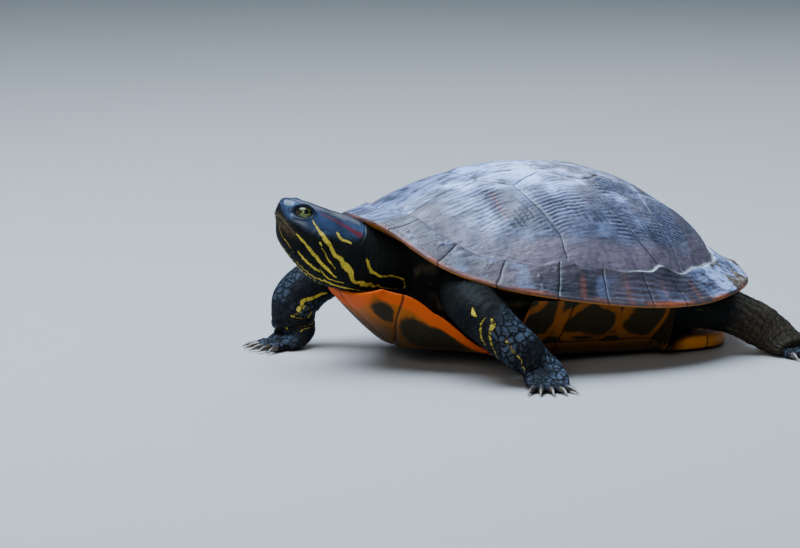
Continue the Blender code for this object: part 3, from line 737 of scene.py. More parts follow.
def carapaceRim():
    # the marginal plates: their slope, a rounded lip, then the underside to well beneath the dome
    c = carapace
    t = roundCount(c["rimColumns"])[None, :]
    begin = seamLine(t)
    x, y, z = rimPoint(t)
    radius = np.hypot(x, y)
    share = np.linspace(0, 1, c["slopeRows"])[:, None]
    slope = domePoint(t + 0 * share, begin + (0.992 - begin) * share)
    turn = np.radians(np.linspace(62, -80, c["lipRows"]))[:, None]
    reach = 0.990 + 0.010 * np.cos(turn) + 0 * t
    lip = np.stack([x * reach, y * reach, z + c["edge"] / 2 * (np.sin(turn) - 1)], -1)
    inner = np.linspace(0.985, 0.30, c["underRows"])[:, None]
    under = np.stack([x * inner, y * inner, z * inner ** 2 - c["edge"]], -1)
    grid = np.concatenate([slope, lip, under])
    row = np.arange(len(grid))[:, None]
    onTop = row < c["slopeRows"]
    onLip = (row >= c["slopeRows"]) & (row < c["slopeRows"] + c["lipRows"])
    done = np.concatenate([share, np.ones((len(grid) - len(slope), 1))])
    fromSeam, toLip = done * (1 - begin) * radius, (1 - done) * (1 - begin) * radius
    degrees = degreesFromFront(t)
    fromFront = np.abs(degrees)
    slant = np.where(fromFront < 50, (1 - ease(19, 50, fromFront)) * 4.4, 0) * np.clip(toLip / 14, 0, 1)
    cross = nearestGap([fromFront - slant - border for border in (*rimBorders, 180.0)])
    cross = cross * np.radians(radius) + 0.35 * grainAt(grid, 6, 21)
    nearest = np.minimum(np.abs(cross), np.where(onTop, fromSeam, 99))
    lines = ripple(toLip / 2.3 + 0.5 * grainAt(grid, 12, 22)) * np.clip(grainAt(grid, 15, 23) + 0.3, 0, 1)
    rise = np.where(onTop, c["rimSwell"] * (1 - np.exp(-nearest / 5)) - c["rimSink"], 0)
    rise = rise - c["rimSeamDepth"] * peak(nearest, 0, 0.75)
    rise = rise + np.where(onTop, 0.14 * lines + 0.30 * grainAt(grid, 9, 24), 0.08 * grainAt(grid, 5, 24))
    spot = peak(degrees, 143, 8.5) * (0.45 + 0.55 * ease(9, 2, toLip))
    spot = spot + 0.75 * peak(degrees, 168, 9) * ease(10, 3, toLip) + 0.4 * peak(degrees, -150, 14)
    lumps = np.clip(spot + 0.55 * grainAt(grid, 5, 25) + 0.35 * grainAt(grid, 2.2, 26) - 0.35, 0, 1) * onTop
    rise = (rise + c["mudHeight"] * lumps) * np.where(onLip, 0.5, 1.0)
    normal = gridNormals(grid)
    normal = normal * np.sign(normal[..., 2:]) * np.where(onTop, 1, -1)[..., None]
    level = unit(np.stack([x, y, 0 * x], -1))
    flat = grid
    grid = moved(grid, np.where(onLip[..., None], level, normal), rise)
    grid[0] = domePoint(t[0], begin[0]) - [0, 0, c["tuck"]]
    points = grid.reshape(-1, 3)
    quads = facingUp(points, gridFaces(len(grid), c["rimColumns"]), 5 * c["rimColumns"])
    borders = np.array((*rimBorders, 180.0))
    fromMiddle = np.abs(fromFront[..., None] - (borders[1:] + borders[:-1]) / 2).min(-1) * np.radians(radius)
    bar = 0.16 * peak(fromMiddle + 0.8 * grainAt(flat, 8, 27), 0, 1.3)
    bar = bar * ease(60, 75, fromFront) * ease(14, 6, toLip)
    glow = ease(1.5, 0.1, toLip) * np.clip(0.35 + 0.9 * grainAt(flat, 12, 28), 0, 1) * np.where(onTop, 0.6, 1)
    # painted glare on the marginals' slope: most at the rear, some at the front and a little along their seam
    # at the front sides
    paintedGlare = 0.02 + 0.32 * ease(20, 12, fromFront) + 0.75 * ease(118, 138, fromFront)
    paintedGlare = paintedGlare + 0.15 * ease(70, 40, fromFront) * ease(8, 3, fromSeam) + 0.20 * grainAt(flat, 11, 30)
    fields = {
        "longSeam": np.where(onTop, fromSeam, 20.0), "crossSeam": cross,
        # painted glint on the crests of the marginals' growth lines
        "ridge": np.clip(0.4 * lines, 0, 1) * onTop,
        "low": np.where(onTop, 0.12 + 0.25 * grainAt(flat, 20, 29), 0.3),
        "paintedGlare": np.where(onTop, np.clip(paintedGlare, 0, 1), 0),
        "orange": np.clip(bar + glow * (0.55 + 0.45 * ease(95, 130, fromFront)), 0, 1),
        "under": 1.0 * (row >= c["slopeRows"] + 4),
        "belly": np.clip(0.9 - 1.1 * peak(np.abs(cross), 2, 6.5) * (row > row[onLip].max()), 0, 1),
        "mud": np.clip(1.4 * lumps + 0.25 * spot * onTop, 0, 1),
        "paleSeam": onTop * ease(95, 104, fromFront), "edgeGap": np.where(onTop, fromSeam, 20.0),
    }
    fields = {name: value * np.ones(grid.shape[:2]) for name, value in fields.items()}
    return makeMesh("carapace rim", shellToBody(points), quads, noTriangles, fields)


horn = carapaceHorn()
makePiece("carapaceDome", carapaceDome(), horn, ["carapace"])
makePiece("carapaceRim", carapaceRim(), horn, ["carapace"])


plastron = dict(
    thickness=5.0, rearThickness=7.2, bridgeHalf=88.0, bridgeFront=-57.0, bridgeRear=45.0,
    fold=63.0,                      # the bridge rises from the belly this far to each side
    front=-129.5, rear=111.0, rows=270, columns=170,
)


def bridgeShare(y):
    # 1 along the bridges, 0 before and behind them
    front, rear = plastron["bridgeFront"], plastron["bridgeRear"]
    return ease(front - 6, front + 6, y) * (1 - ease(rear - 6, rear + 6, y))


def plastronHalf(y):
    # half width: a rounded front lobe, a narrower rear lobe, and the bridges between them
    ahead = 60 - 24 * np.clip((-60 - y) / 66, 0, 1) ** 1.8
    behind = 57 - 36 * np.clip((y - 40) / 71, 0, 1) ** 5
    share = bridgeShare(y)
    return np.minimum(ahead, behind) * (1 - share) + plastron["bridgeHalf"] * share


def plastronBottom(x, y):
    # near level, turned up in front like a bow, raised towards the rim at the bridges
    out = np.abs(x / plastronHalf(y))
    level = 9.5 - 0.0455 * (y + 90)
    bow = 29.5 * np.clip((-96 - y) / 33.5, 0, 1.2) ** 1.15
    scoop = 26 * np.exp(-((y + 101) / 25) ** 2) * out ** 3
    rear = 1.0 * ease(45, 100, y) * out ** 2
    lift = 36 * np.clip((np.abs(x) - 50) / 38, 0, 1) ** 1.3
    return level + bow + scoop + rear + bridgeShare(y) * lift


# black patches: middle, half sizes and turn in degrees; the front ones differ from side to side
patches = [(28.5, -116.5, 8.0, 4.2, 40), (-12, -117.0, 12, 3.6, 25), (-33, -113, 6, 4, -40)]
patches += [(side * x, y, halfX, halfY, side * turn) for side in (1, -1) for x, y, halfX, halfY, turn in (
    (14, -84, 10, 12, 0), (33, -42, 19, 12, 0), (33, 6, 22, 17, 0), (29, 54, 15, 11, 0), (16, 86, 8.5, 10, 0),
    (55, 46, 9, 5, 30))]
patches += [(40, -91, 19, 9, 64), (-40, -91, 18, 9, -64)]
bridgeRings = dict(middles=(-43, -9, 24), height=14, halfLength=15.5, halfHeight=12.0, outline=1.9)
plastronBorders = ([(0, -96), (14, -101), (28, -108.5), (34, -111), (60, -111.5)],
                   [(0, -57), (30, -59), (60, -64), (90, -64)],
                   [(0, -19), (40, -21), (90, -26)],
                   [(0, 30), (30, 33), (60, 40), (90, 42)],
                   [(0, 62), (25, 66), (50, 80), (90, 90)])


def patchDepth(x, y, middleX, middleY, halfX, halfY, turn):
    # mm inside an oval, less than 0 outside it
    s, c = sineCosine(turn)
    u = (x - middleX) * c + (y - middleY) * s
    v = (y - middleY) * c - (x - middleX) * s
    return (1 - np.sqrt((u / halfX) ** 2 + (v / halfY) ** 2)) * min(halfX, halfY)


def plastronSlab(share, side):
    # the lower (side -1) or upper side: half widths times the shares, rounded at its edges and ends
    p = plastron
    y = np.linspace(p["front"], p["rear"], p["rows"])[:, None]
    s = share[None] + 0 * y
    x = s * plastronHalf(y)
    bent = y + 8 * ease(100, 129.5, -y) * np.abs(s) ** 2.5 - 8 * ease(85, 111, y) * (1 - np.abs(s)) ** 1.5
    edge = np.clip(1 - np.abs(s) ** 4, 0, 1)
    rear = ease(50, 72, y)
    thick = p["thickness"] * (0.5 + 0.5 * edge) * (1 - rear) + p["rearThickness"] * rear
    tuck = np.sqrt(np.clip(1 - np.clip((np.abs(s) - 0.97) / 0.03, 0, 1) ** 2, 0.02, 1))
    toEnd = np.clip(np.minimum(y - p["front"], p["rear"] - y) / 2.2, 0, 1)
    roundEnd = np.sqrt(np.clip(1 - (1 - toEnd) ** 2, 0.06, 1))
    height = plastronBottom(x, y) + thick / 2 + side * thick / 2 * roundEnd * tuck
    return np.stack([x, bent, height], -1)


def plastronEnds(rows, size):
    # faces between the lower and upper side at both ends, each with as many lower points as it spans
    ends = []
    lower, upper = np.arange(plastron["columns"]), np.arange(size - 1, plastron["columns"] - 1, -1)
    pick = np.round(np.linspace(0, len(lower) - 1, len(upper))).astype(int)
    for row, flip in ((0, False), (rows - 1, True)):
        for i in range(len(upper) - 1):
            ring = np.concatenate([lower[pick[i]:pick[i + 1] + 1], [upper[i + 1], upper[i]]]) + row * size
            ends.append(ring[::-1] if flip else ring)
    return ends


def plastronPlate():
    p = plastron
    squareness = math.pi / 2 * 0.93          # crowds the columns towards the edges
    share = np.sin(np.linspace(-1, 1, p["columns"]) * squareness) / math.sin(squareness)
    grid = np.concatenate([plastronSlab(share, -1), plastronSlab(share[::-4], 1)], axis=1)
    rows, size = grid.shape[:2]
    level = np.linspace(p["front"], p["rear"], rows)[:, None]
    x, y, z = np.moveaxis(grid, -1, 0)       # views, so that a change of z changes the grid
    ax = np.abs(x)
    flat = np.stack([x, y, 0 * x], -1)
    half = plastronHalf(level)
    bridged = bridgeShare(level)
    wave = 0.6 * grainAt(flat, 8, 41)
    cross = nearestGap([lineGap(y + wave, ax, border) for border in plastronBorders])
    along = x - np.interp(y, [-129, -119, -110, -98, -85], [0, 0.6, 2.5, 2, 0]) + wave
    fold = np.where(bridged > 0.5, ax - p["fold"] + wave, 30.0)      # the bridge's own seam, along its fold
    nearest = smallest(cross, along, fold)
    blotch = np.maximum(-20, np.maximum.reduce([patchDepth(x, y, *patch) for patch in patches]))
    blotch = np.minimum(blotch, np.abs(cross) - 2.0)
    blotch = np.where(ax > p["fold"] - 3, np.minimum(blotch, p["fold"] - 1 - ax), blotch)
    # on the bridge: orange outlines of dark warped rings, and an orange strip along the fold
    warpedY = y + 5.0 * grainAt(flat, 15, 43) + 1.8 * grainAt(flat, 6, 44)
    warpedUp = 0.95 * (ax - p["fold"] + 1) + 4.0 * grainAt(flat, 13, 45) + 1.5 * grainAt(flat, 6, 46)
    rings = np.full(x.shape, -9.0)
    up = (warpedUp - bridgeRings["height"]) / bridgeRings["halfHeight"]
    for middle in bridgeRings["middles"]:
        inside = 1 - np.hypot((warpedY - middle) / bridgeRings["halfLength"], up)
        rings = np.maximum(rings, inside * bridgeRings["halfHeight"])
    outline = bridgeRings["outline"] + 0.9 * grainAt(flat, 9, 47) - np.abs(rings - 0.2)
    strip = 0.9 - np.abs(ax - 68.5 + 0.02 * (y + 15) + 2.5 * wave)
    strip = np.where(np.abs(y + 10) < 30, strip, -5)
    bridge = bridged * ease(58, 66, ax)
    blotch = np.where(bridge > 0.5, -np.maximum(outline, strip), blotch)
    # painted light: a brighter orange band along the lit lip of the front lobe and across its front end
    litLipBand = ease(5.5, 3.0, half - ax) * (1 - bridged) * ease(20, -30, y)
    litLipBand = np.maximum(litLipBand, ease(9, 3, y - p["front"]))
    rise = 0.5 * peak(nearest, 0, 1.1) - 0.35 * (1 - np.exp(-nearest / 6)) + 0.12 * grainAt(flat, 7, 42)
    z += rise * (np.arange(size) < p["columns"]) * ease(1.0, 0.93, ax / half)
    shade = np.clip(0.45 * bridge + (1 - bridge) * 0.96 * ease(36, 17, z) * ease(75, 55, y), 0, 0.95)
    points = grid.reshape(-1, 3)
    quads, _ = outsideOut(points, gridFaces(rows, size), noTriangles)
    fields = {
        "longSeam": np.where(np.abs(fold) < np.abs(along), fold, along), "crossSeam": cross, "blotch": blotch,
        "litLipBand": litLipBand, "shade": shade * (1 - litLipBand),
        # painted light on the rear lobe's outer wall
        "litRearWall": ease(55, 68, y) * ease(7, 3, half - ax),
    }
    return makeMesh("plastron", points, quads, plastronEnds(rows, size), fields)


makePiece("plastronPlate", plastronPlate(), plastronHorn(), ["plastron"])


headRows = [  # back from the nose, top, bottom, level of the widest part, half width
    (0.7, -0.9, -7.4, -4.0, 3.7), (1.8, 0.3, -11.5, -5.5, 6.0), (4.2, 1.6, -14.8, -7.0, 8.2),
    (7.2, 2.8, -19.6, -8.0, 10.6), (10.5, 3.7, -22.6, -8.0, 12.6), (14.5, 4.7, -24.9, -8.5, 14.2),
    (19.5, 5.6, -27.0, -9.5, 15.8), (26.0, 6.6, -29.4, -10.5, 17.4), (33.0, 8.0, -31.0, -11.0, 18.2),
    (39.0, 9.2, -31.6, -11.0, 18.2), (45.0, 10.2, -31.2, -11.0, 18.6)]
neckRows = [(2, -119, 63, 20, 21.5), (3, -106, 61, 21, 20), (3, -90, 58, 22, 19)]
mouthLine = [(-4, -11.4), (3.5, -11.8), (8, -13.6), (13, -15.6), (19, -16.6), (24, -18.5)]
head = dict(
    around=184, steps=10,
    mouthEnd=18.0, mouthDepth=0.6,
    nostril=(1.7, 1.6, -2.9),       # outwards, back and up
    drum=(29.5, -8.5),              # the ear drum's middle: back and up
    crease=47.0, creaseSlant=0.17,  # behind the head: mm back beside it, and more for each degree up
    perDegree=0.32,                 # mm round the head for each degree
)


def headGrid():
    # rings across the head and the neck, eased from one to the next; returns the head's rings in its own
    # frame too, without its details
    a = roundCount(head["around"])[None]
    ca, sa = np.cos(a), np.sin(a)
    back, top, bottom, wide, half = (np.array(headRows)[:, i:i + 1] for i in range(5))
    up = np.where(sa > 0, wide + (top - wide) * np.abs(sa) ** 0.92, wide - (wide - bottom) * np.abs(sa))
    out = half * np.sign(ca) * np.abs(ca) ** 0.86
    lean = -0.10 * (up - wide) * np.clip(back / 20, 0, 1)
    sections = np.stack([out, back + lean, up], -1)
    tip = sections[0].mean(0)
    caps = [tip + (sections[0] - tip) * f + [0, -0.35 * (1 - f * f), 0] for f in (0.35, 0.7, 0.9)]
    local = splineThrough(np.concatenate([np.stack(caps), sections]), head["steps"])
    neck = splineThrough(neckRows, 2)
    cn, sn = squared(a, 0.95)
    x, y, z, halfWidth, halfHeight = (neck[:, i:i + 1] for i in range(5))
    rings = np.stack([x + halfWidth * cn, y + 0 * cn, z + halfHeight * sn], -1)
    nape = headToBody(sections[-1])
    blend = [nape + (rings[0] - nape) * u for u in (0.0, 0.33, 0.66)]
    joined = splineThrough(np.concatenate([[headToBody(sections[-2])], np.stack(blend), rings]), 7)[7:]
    return local, np.concatenate([headToBody(headDetail(local)), joined[1:]])


def eyeFrame(sign, forward, up):
    # the left or right eye's middle, outward axis, and the directions back and up across it
    middle = np.array([sign * eye["place"][0], *eye["place"][1:]])
    axis = unit(np.array([sign, -forward, up]))
    rear = unit(np.cross([0, 0, 1.0], axis) * sign)
    rise = np.cross(axis, rear) * sign
    s, c = sineCosine(eye["roll"])
    return middle, axis, rear * c + rise * s, rise * c - rear * s


def eyeReach(points, sign):
    # points seen from an eye: shares of the opening backwards and upwards, height over the eye's middle, axis
    middle, axis, rear, rise = eyeFrame(sign, *eye["opened"])
    d = points - middle
    return d @ rear / eye["opening"][0], d @ rise / eye["opening"][1], d @ axis, axis


def headDetail(local):
    # the mouth's groove with the jaw set in below it, nostrils, ear drum, throat folds, lids round each eye
    x, back, up = np.moveaxis(local, -1, 0)
    gap = up - np.interp(back, *np.array(mouthLine).T)
    alongMouth = ease(head["mouthEnd"] + 1.5, head["mouthEnd"] - 2, back)
    groove = head["mouthDepth"] * peak(gap, 0, 0.55) + 0.45 * ease(0.2, -1.4, gap) * ease(-9, -4, gap)
    move = (0.22 * peak(gap, 1.1, 0.8) - groove) * alongMouth
    noseX, noseBack, noseUp = head["nostril"]
    nostril = np.hypot(np.abs(x) - noseX, (up - noseUp) * 0.9) + 0.9 * np.clip(back - noseBack, 0, 9)
    move = move - 0.9 * peak(nostril, 0, 0.55) * (back < 4)
    drum = np.hypot(back - head["drum"][0], up - head["drum"][1])
    move = move + 0.35 * ease(5.0, 3.4, drum) - 0.25 * peak(drum, 5.2, 0.8)
    move = move + 0.25 * grainAt(local, 9, 51) * ease(3, 12, back)
    move = move + 0.12 * grainAt(local, 3.5, 52) * ease(10, 25, back)
    throat = ease(-18, -26, up) * ease(12, 20, back)
    move = move + throat * 0.28 * ripple(back / 3.4 + 0.5 * grainAt(local, 7, 54))
    shaped = moved(local, outwardFrom(local), move)
    halfLength, halfHeight = eye["opening"]
    for sign in (1, -1):
        a, b, h, axis = eyeReach(shaped, sign)
        e = np.hypot(a, b)                       # 1 on the border of the opening
        around = np.arctan2(b, a)
        upper = np.clip(np.sin(around), 0, 1)
        border = (halfLength * np.cos(around)) ** 2 + (halfHeight * np.sin(around)) ** 2
        border = np.sqrt(np.clip(eye["radius"] ** 2 - border, 0.1, None)) + 0.15
        brow = 0.45 + 1.5 * upper + 0.6 * peak(around, 0.1, 0.5)
        swell = np.sin(math.pi * np.clip((e - 1.0) / (0.62 + 0.25 * upper), 0, 1))
        lid = np.where(e < 1.0, border - 5.0 * (1.0 - e), border + brow * swell - 0.30 * peak(e, 1.72, 0.10))
        target = lid + (h - lid) * ease(1.18, 2.05, e)
        shaped = moved(shaped, axis, np.where((h > 0) & (e < 2.4), target - h, 0))
    return shaped


def stripeDepth(u, v, lines):
    # mm inside the nearest of some lines of changing width, each given as places u, v and a half width
    best = np.full(u.shape, -6.0)
    for line in lines:
        for (u0, v0, w0), (u1, v1, w1) in zip(line[:-1], line[1:]):
            du, dv = u1 - u0, v1 - v0
            k = np.clip(((u - u0) * du + (v - v0) * dv) / (du * du + dv * dv), 0, 1)
            best = np.maximum(best, w0 + (w1 - w0) * k - np.hypot(u - u0 - k * du, v - v0 - k * dv))
    return best


# lines of the head and neck: mm back along the surface, mm round it from the left side upwards, half width
headYellow = [
    [(20.4, 8.1, 0.4), (24.8, 5.0, 0.85), (29.6, 3.1, 1.15), (35.7, 0.6, 0.85), (40.5, -1.9, 0.85),
     (44.6, -1.9, 1.1), (47.1, -3.7, 1.45), (50.5, -7.5, 0.85), (52.3, -11.9, 0.8), (54.0, -13.2, 0.9),
     (55.7, -11.9, 0.8), (56.8, -14.4, 0.9), (58.1, -11.9, 0.7), (60.5, -14.2, 0.7), (63, -12.6, 0.55),
     (65.2, -15.0, 0.5), (76, -16, 0.3)],
    [(15.5, -6.3, 0.4), (20.4, -6.3, 0.8), (26.8, -7.5, 0.9), (32.4, -8.8, 0.95), (38.7, -10.0, 0.85),
     (47.1, -12.5, 0.4)],
    [(21, -14.4, 0.4), (26.8, -15.0, 0.9), (33.1, -15.0, 1.0), (37.5, -14.4, 0.4)],
    [(35.7, 8.8, 0.4), (37.2, 8.0, 0.8), (40.5, 6.3, 0.7), (45.8, 6.9, 0.5)],
    [(29.0, -1.0, 0.8), (30.6, -1.4, 0.4)],
    [(55.4, 0.6, 0.2), (56.3, -1.2, 0.6), (58.1, -5.0, 0.7), (63.3, -6.9, 0.6), (71, -6.3, 0.45),
     (77.6, -7.5, 0.35), (81.1, -15.0, 0.2)],
    [(6, -19.5, 0.2), (13, -17.5, 0.35), (20, -18.5, 0.1)],
    [(24, -23.5, 0.3), (36, -22.5, 0.6), (44, -19, 0.8), (52, -20.5, 0.8), (57, -19, 0.7), (64, -22, 0.4)],
    [(12, -27.5, 0.4), (30, -28.0, 0.9), (44, -28.0, 0.6)],
    [(31, -2.5, 0.2), (38, -5.5, 0.45), (44, -8.0, 0.2)],
    [(36, -12.5, 0.2), (43, -15.5, 0.5), (50, -16.0, 0.3)]]
headRed = [[(23.5, 17.0, 0.3), (25.4, 17.0, 0.6), (33.1, 16.3, 0.9), (41.1, 14.6, 1.4), (50.4, 12.9, 1.8)]]

# the same on the limbs, round each limb from its outer side (left) or its inner side (the others)
legYellow = dict(
    frontLeft=[
        [(54.5, 8.5, 0.2), (52.1, 4.8, 0.3), (49.9, 0, 0.35), (48.8, -3.4, 0.35), (48.9, -6.0, 0.3)],
        [(51.0, -7.4, 0.3), (52.3, -5.0, 0.8), (53.1, 0, 0.35), (55.2, 3.6, 0.35), (57.2, 7.2, 0.35),
         (64, 14.4, 0.2)],
        [(58.0, -2.0, 0.2), (60.5, 0.6, 0.5), (62.5, -0.6, 0.2), (64, 1.2, 0.4), (67.6, 3.6, 0.4),
         (73.4, 4.8, 0.4), (82, 6.0, 0.3)],
        [(42, -7, 0.4), (44, -4.5, 1.0), (45.5, -4, 0.4)],
        [(36, 24, 0.6), (60, 27, 0.9), (84, 25, 0.6)]],
    frontRight=[
        [(44, -6.5, 0.4), (46.7, -5.3, 0.7), (56.7, -1.7, 0.8), (65.4, 3.1, 0.9), (69.5, 11.5, 0.8),
         (73.1, 15.1, 0.9), (84.5, 16.3, 0.7)],
        [(66, 1.0, 0.4), (74, 4.5, 0.7), (82, 5.5, 0.5)], [(40, -25, 0.6), (66, -21, 0.9), (88, -20, 0.6)]],
    hindLeft=[[(30, -38, 0.6), (58, -41, 0.8), (78, -38, 0.4)]],
    hindRight=[[(26, 8, 0.6), (52, 10, 0.8), (76, 9, 0.5)], [(30, -9, 0.5), (58, -11, 0.7), (78, -10, 0.5)]],
)

# each limb's path: middle, half width and half thickness from the shell to the foot; where its toes start
# and which way they point, in degrees from straight back towards the left; how much painted sheen its scales
# carry
limbs = dict(
    frontLeft=dict(
        path=[(42, -71, 50, 17, 15), (58, -78, 47, 15.5, 14), (74, -80.5, 41, 14.3, 13.3),
              (87, -76.5, 33, 13.2, 12.8), (92.5, -68.5, 24.5, 12.8, 12.2), (95, -60.5, 17.5, 12.5, 11.2),
              (99, -55, 11.2, 12.3, 8.9), (105, -54, 6.4, 12.6, 6.6), (111.5, -56, 4.2, 12.6, 5.0),
              (116, -58, 3.2, 11.8, 4.0)],
        toeBase=(115.5, -57.8, 2.4), heading=108, bright=1.0, toes=5, claw=10.0, node="front_left"),
    frontRight=dict(
        path=[(-44, -76, 54, 17, 17), (-58, -96, 47, 16, 15), (-67, -113, 38, 14, 13.5),
              (-69, -124, 28, 13, 14), (-68, -127, 18, 12.5, 13), (-67, -127, 11, 12.5, 11),
              (-66, -131, 5.4, 13.5, 6.3), (-65, -138, 3.0, 12.5, 4.2)],
        toeBase=(-65, -138, 2.4), heading=174, bright=0.5, toes=5, claw=10.0, node="front_right"),
    hindLeft=dict(
        path=[(36, 50, 27, 18, 16), (49, 60, 29, 17, 14), (57, 75, 28, 14.5, 13),
              (61.5, 88.5, 25, 13, 12.5), (65.5, 98.5, 20.8, 13, 12), (69.5, 106, 16.5, 12.8, 12),
              (74, 112, 11.8, 13, 10.5), (80.5, 116, 7.8, 13.5, 8), (88, 118.5, 4.8, 12.5, 5.2)],
        toeBase=(87, 118, 2.4), heading=68, bright=0.0, toes=4, claw=9.0, node="hind_left"),
    hindRight=dict(
        path=[(-36, 50, 26, 19, 17), (-56, 50, 22, 17, 13), (-74, 49, 19, 15, 12.5),
              (-84, 55, 16, 13, 12), (-90, 64, 11.3, 12, 10.5), (-95, 71, 6.8, 13, 7.4),
              (-101, 76, 4.3, 14, 5.2), (-107, 80, 3.3, 12.5, 4.0)],
        toeBase=(-106, 79.3, 2.4), heading=-57, bright=0.0, toes=4, claw=9.0, node="hind_right"),
)
tailPath = [(-2, 92, 24, 13, 11), (-6, 108, 19, 10.5, 9), (-12, 122, 13, 7.5, 6.5), (-19, 135, 7.5, 4.8, 4.3),
            (-25, 145, 3.6, 2.2, 2.2)]
tailYellow = [[(0, -12, 0.9), (60, -9, 0.5)], [(0, 10, 0.9), (60, 8, 0.5)]]
# shares of the rim's half width and half length, and height over the side rim
trunkRows = [(0.30, 0.35, -36), (0.50, 0.74, -34), (0.66, 0.80, -20), (0.80, 0.82, -6), (0.83, 0.84, 3)]
toe = dict(
    radius=2.9, reach=10.0, fan=27.0, spread=6.0,
    # share of the reach, height over the base, and shares of the radius across and up
    rows=((0, 0.8, 1, 1), (0.35, 0.6, 1.02, 1), (0.68, 0.3, 1.06, 1), (1, 0, 0.8, 0.78)),
)
claw = dict(radius=1.7, tipHeight=0.9, rows=22, columns=16)
fineness = dict(leg=(15, 96), toe=(6, 22), tail=(12, 40))        # steps to a span, points round
legScales = dict(hind=(4.2, 18), front=(5.6, 14), fine=(2.4, 28))     # length, number round the leg
perRadian = dict(leg=12, tail=7)                                 # mm round the limb


def tubeAlong(path, steps, size, power=0.9):
    # flattened rings carried along a smooth path, whose end is rounded, and how far along it each ring lies
    line = splineThrough(path, steps)
    centre, radii = line[:, :3], line[:, None, 3:5]
    tangent = unit(np.gradient(centre, axis=0))
    side = unit(np.cross(tangent, [0, 0, 1.0]))
    over = np.cross(side, tangent)
    ca, sa = squared(roundCount(size), power)
    rings = (centre[:, None] + radii[..., :1] * ca[None, :, None] * side[:, None]
             - radii[..., 1:] * sa[None, :, None] * over[:, None])
    end = [centre[-1] + (rings[-1] - centre[-1]) * f + tangent[-1] * 1.2 * math.sqrt(1 - f * f)
           for f in (0.92, 0.75, 0.45)]
    run = runAlong(centre)
    run = np.concatenate([run, run[-1] + np.array([0.5, 0.9, 1.2])])
    return np.concatenate([rings, np.stack(end)]), run, centre


skinFields = dict(yellow=-6.0, red=-6.0, plate=0.0, gap=1.0, beak=0.0, smoothSheenHead=0.0, dirt=0.0, kept=1.0)


def skinPart(name, grid, **fields):
    # a closed tube with its markings, ready to be joined; 'kept' marks the points that the joining leaves
    points, quads, triangles = closedTube(grid)
    full = {}
    for key, usual in skinFields.items():
        value = fields.get(key, usual) * np.ones(grid.shape[:2])
        full[key] = np.append(value.ravel(), [value[0].mean(), value[-1].mean()])
    return addToScene(name, makeMesh(name, points, quads, triangles, full))


def legPart(name, limb, seed):
    # fine wrinkles across the upper leg, scales on the lower leg and foot, lengthwise folds on the hind legs
    rings, run, _ = tubeAlong(limb["path"], *fineness["leg"])
    hind = name.startswith("hind")
    a = roundCount(rings.shape[1])[None] * np.ones((len(rings), 1))
    s = run[:, None] + 0 * a
    share = s / run[-1]
    large = ease(0.42, 0.60, share)
    length, around = legScales["hind" if hind else "front"]
    edge = scalesAt(s / length, a / fullTurn * around, around, seed)
    length, around = legScales["fine"]
    edgeFine = scalesAt(s / length, a / fullTurn * around, around, seed + 1)
    gap = np.where(large > 0.5, edge if hind else 1.0, edgeFine + 0.05)
    wrinkle = ripple(s / 4.2 + 0.8 * grainAt(rings, 9, seed + 2)) * (1 - large)
    move = (0.28 if hind else 0.12) * (ease(0.0, 0.55, edge) - 0.6) * large + 0.30 * wrinkle
    move = move + 0.22 * (ease(0.0, 0.5, edgeFine) - 0.6) * (1 - 0.7 * large)
    move = move + 0.35 * grainAt(rings, 8, seed + 3)
    if hind:
        move = move + 0.55 * np.sin(a * 17 + 2.5 * grainAt(rings, 14, seed + 4)) * ease(0.35, 0.6, share)
    grid = moved(rings, outwardFrom(rings), move * ease(0, 0.05, 1.02 - share))
    grid[..., 2] = np.maximum(grid[..., 2], 0.0)
    # the large scales, times the limb's share of painted sheen
    plate = large * np.clip(0.70 + 1.2 * grainAt(rings, 8, seed + 6), 0.15, 1) * limb["bright"]
    turn = (a + math.pi) % fullTurn - math.pi if name == "frontLeft" else a - math.pi
    wobble = 0.5 * grainAt(rings, 4, seed + 5)
    yellow = stripeDepth(s + wobble, turn * perRadian["leg"] + wobble, legYellow[name])
    dirt = (0.75 if hind else 0.10) * ease(0.3, 0.7, share) + 0.35 * ease(9, 2, grid[..., 2])
    return skinPart(name, grid, gap=gap, plate=plate, yellow=yellow, dirt=dirt)


def toeParts(name, limb):
    # toes in a fan, banded on top; returns them with the place and direction where each claw begins
    made, clawRows = [], []
    s, c = sineCosine(limb["heading"])
    for i in range(limb["toes"]):
        share = i / (limb["toes"] - 1) * 2 - 1
        d = np.array([*sineCosine(limb["heading"] + toe["fan"] * share), 0.0])
        start = limb["toeBase"] + np.array([c, -s, 0.0]) * share * toe["spread"]
        length = toe["reach"] * (1 - 0.16 * share ** 2)
        rows = [(*(start + d * length * u + [0, 0, up]), toe["radius"] * wide, toe["radius"] * high)
                for u, up, wide, high in toe["rows"]]
        rings, run, centre = tubeAlong(rows, *fineness["toe"], 1.0)
        bands = ripple(run / 2.6)[:, None]
        rings = moved(rings, outwardFrom(rings), 0.20 * bands * ease(1.0, 3.5, rings[..., 2]))
        rings[..., 2] = np.maximum(rings[..., 2], 0.0)
        made.append(skinPart(f"{name} toe {i + 1}", rings, gap=0.22 + 0.2 * bands, plate=0.5, dirt=0.3))
        clawRows.append((centre[-1], d))
    return made, clawRows


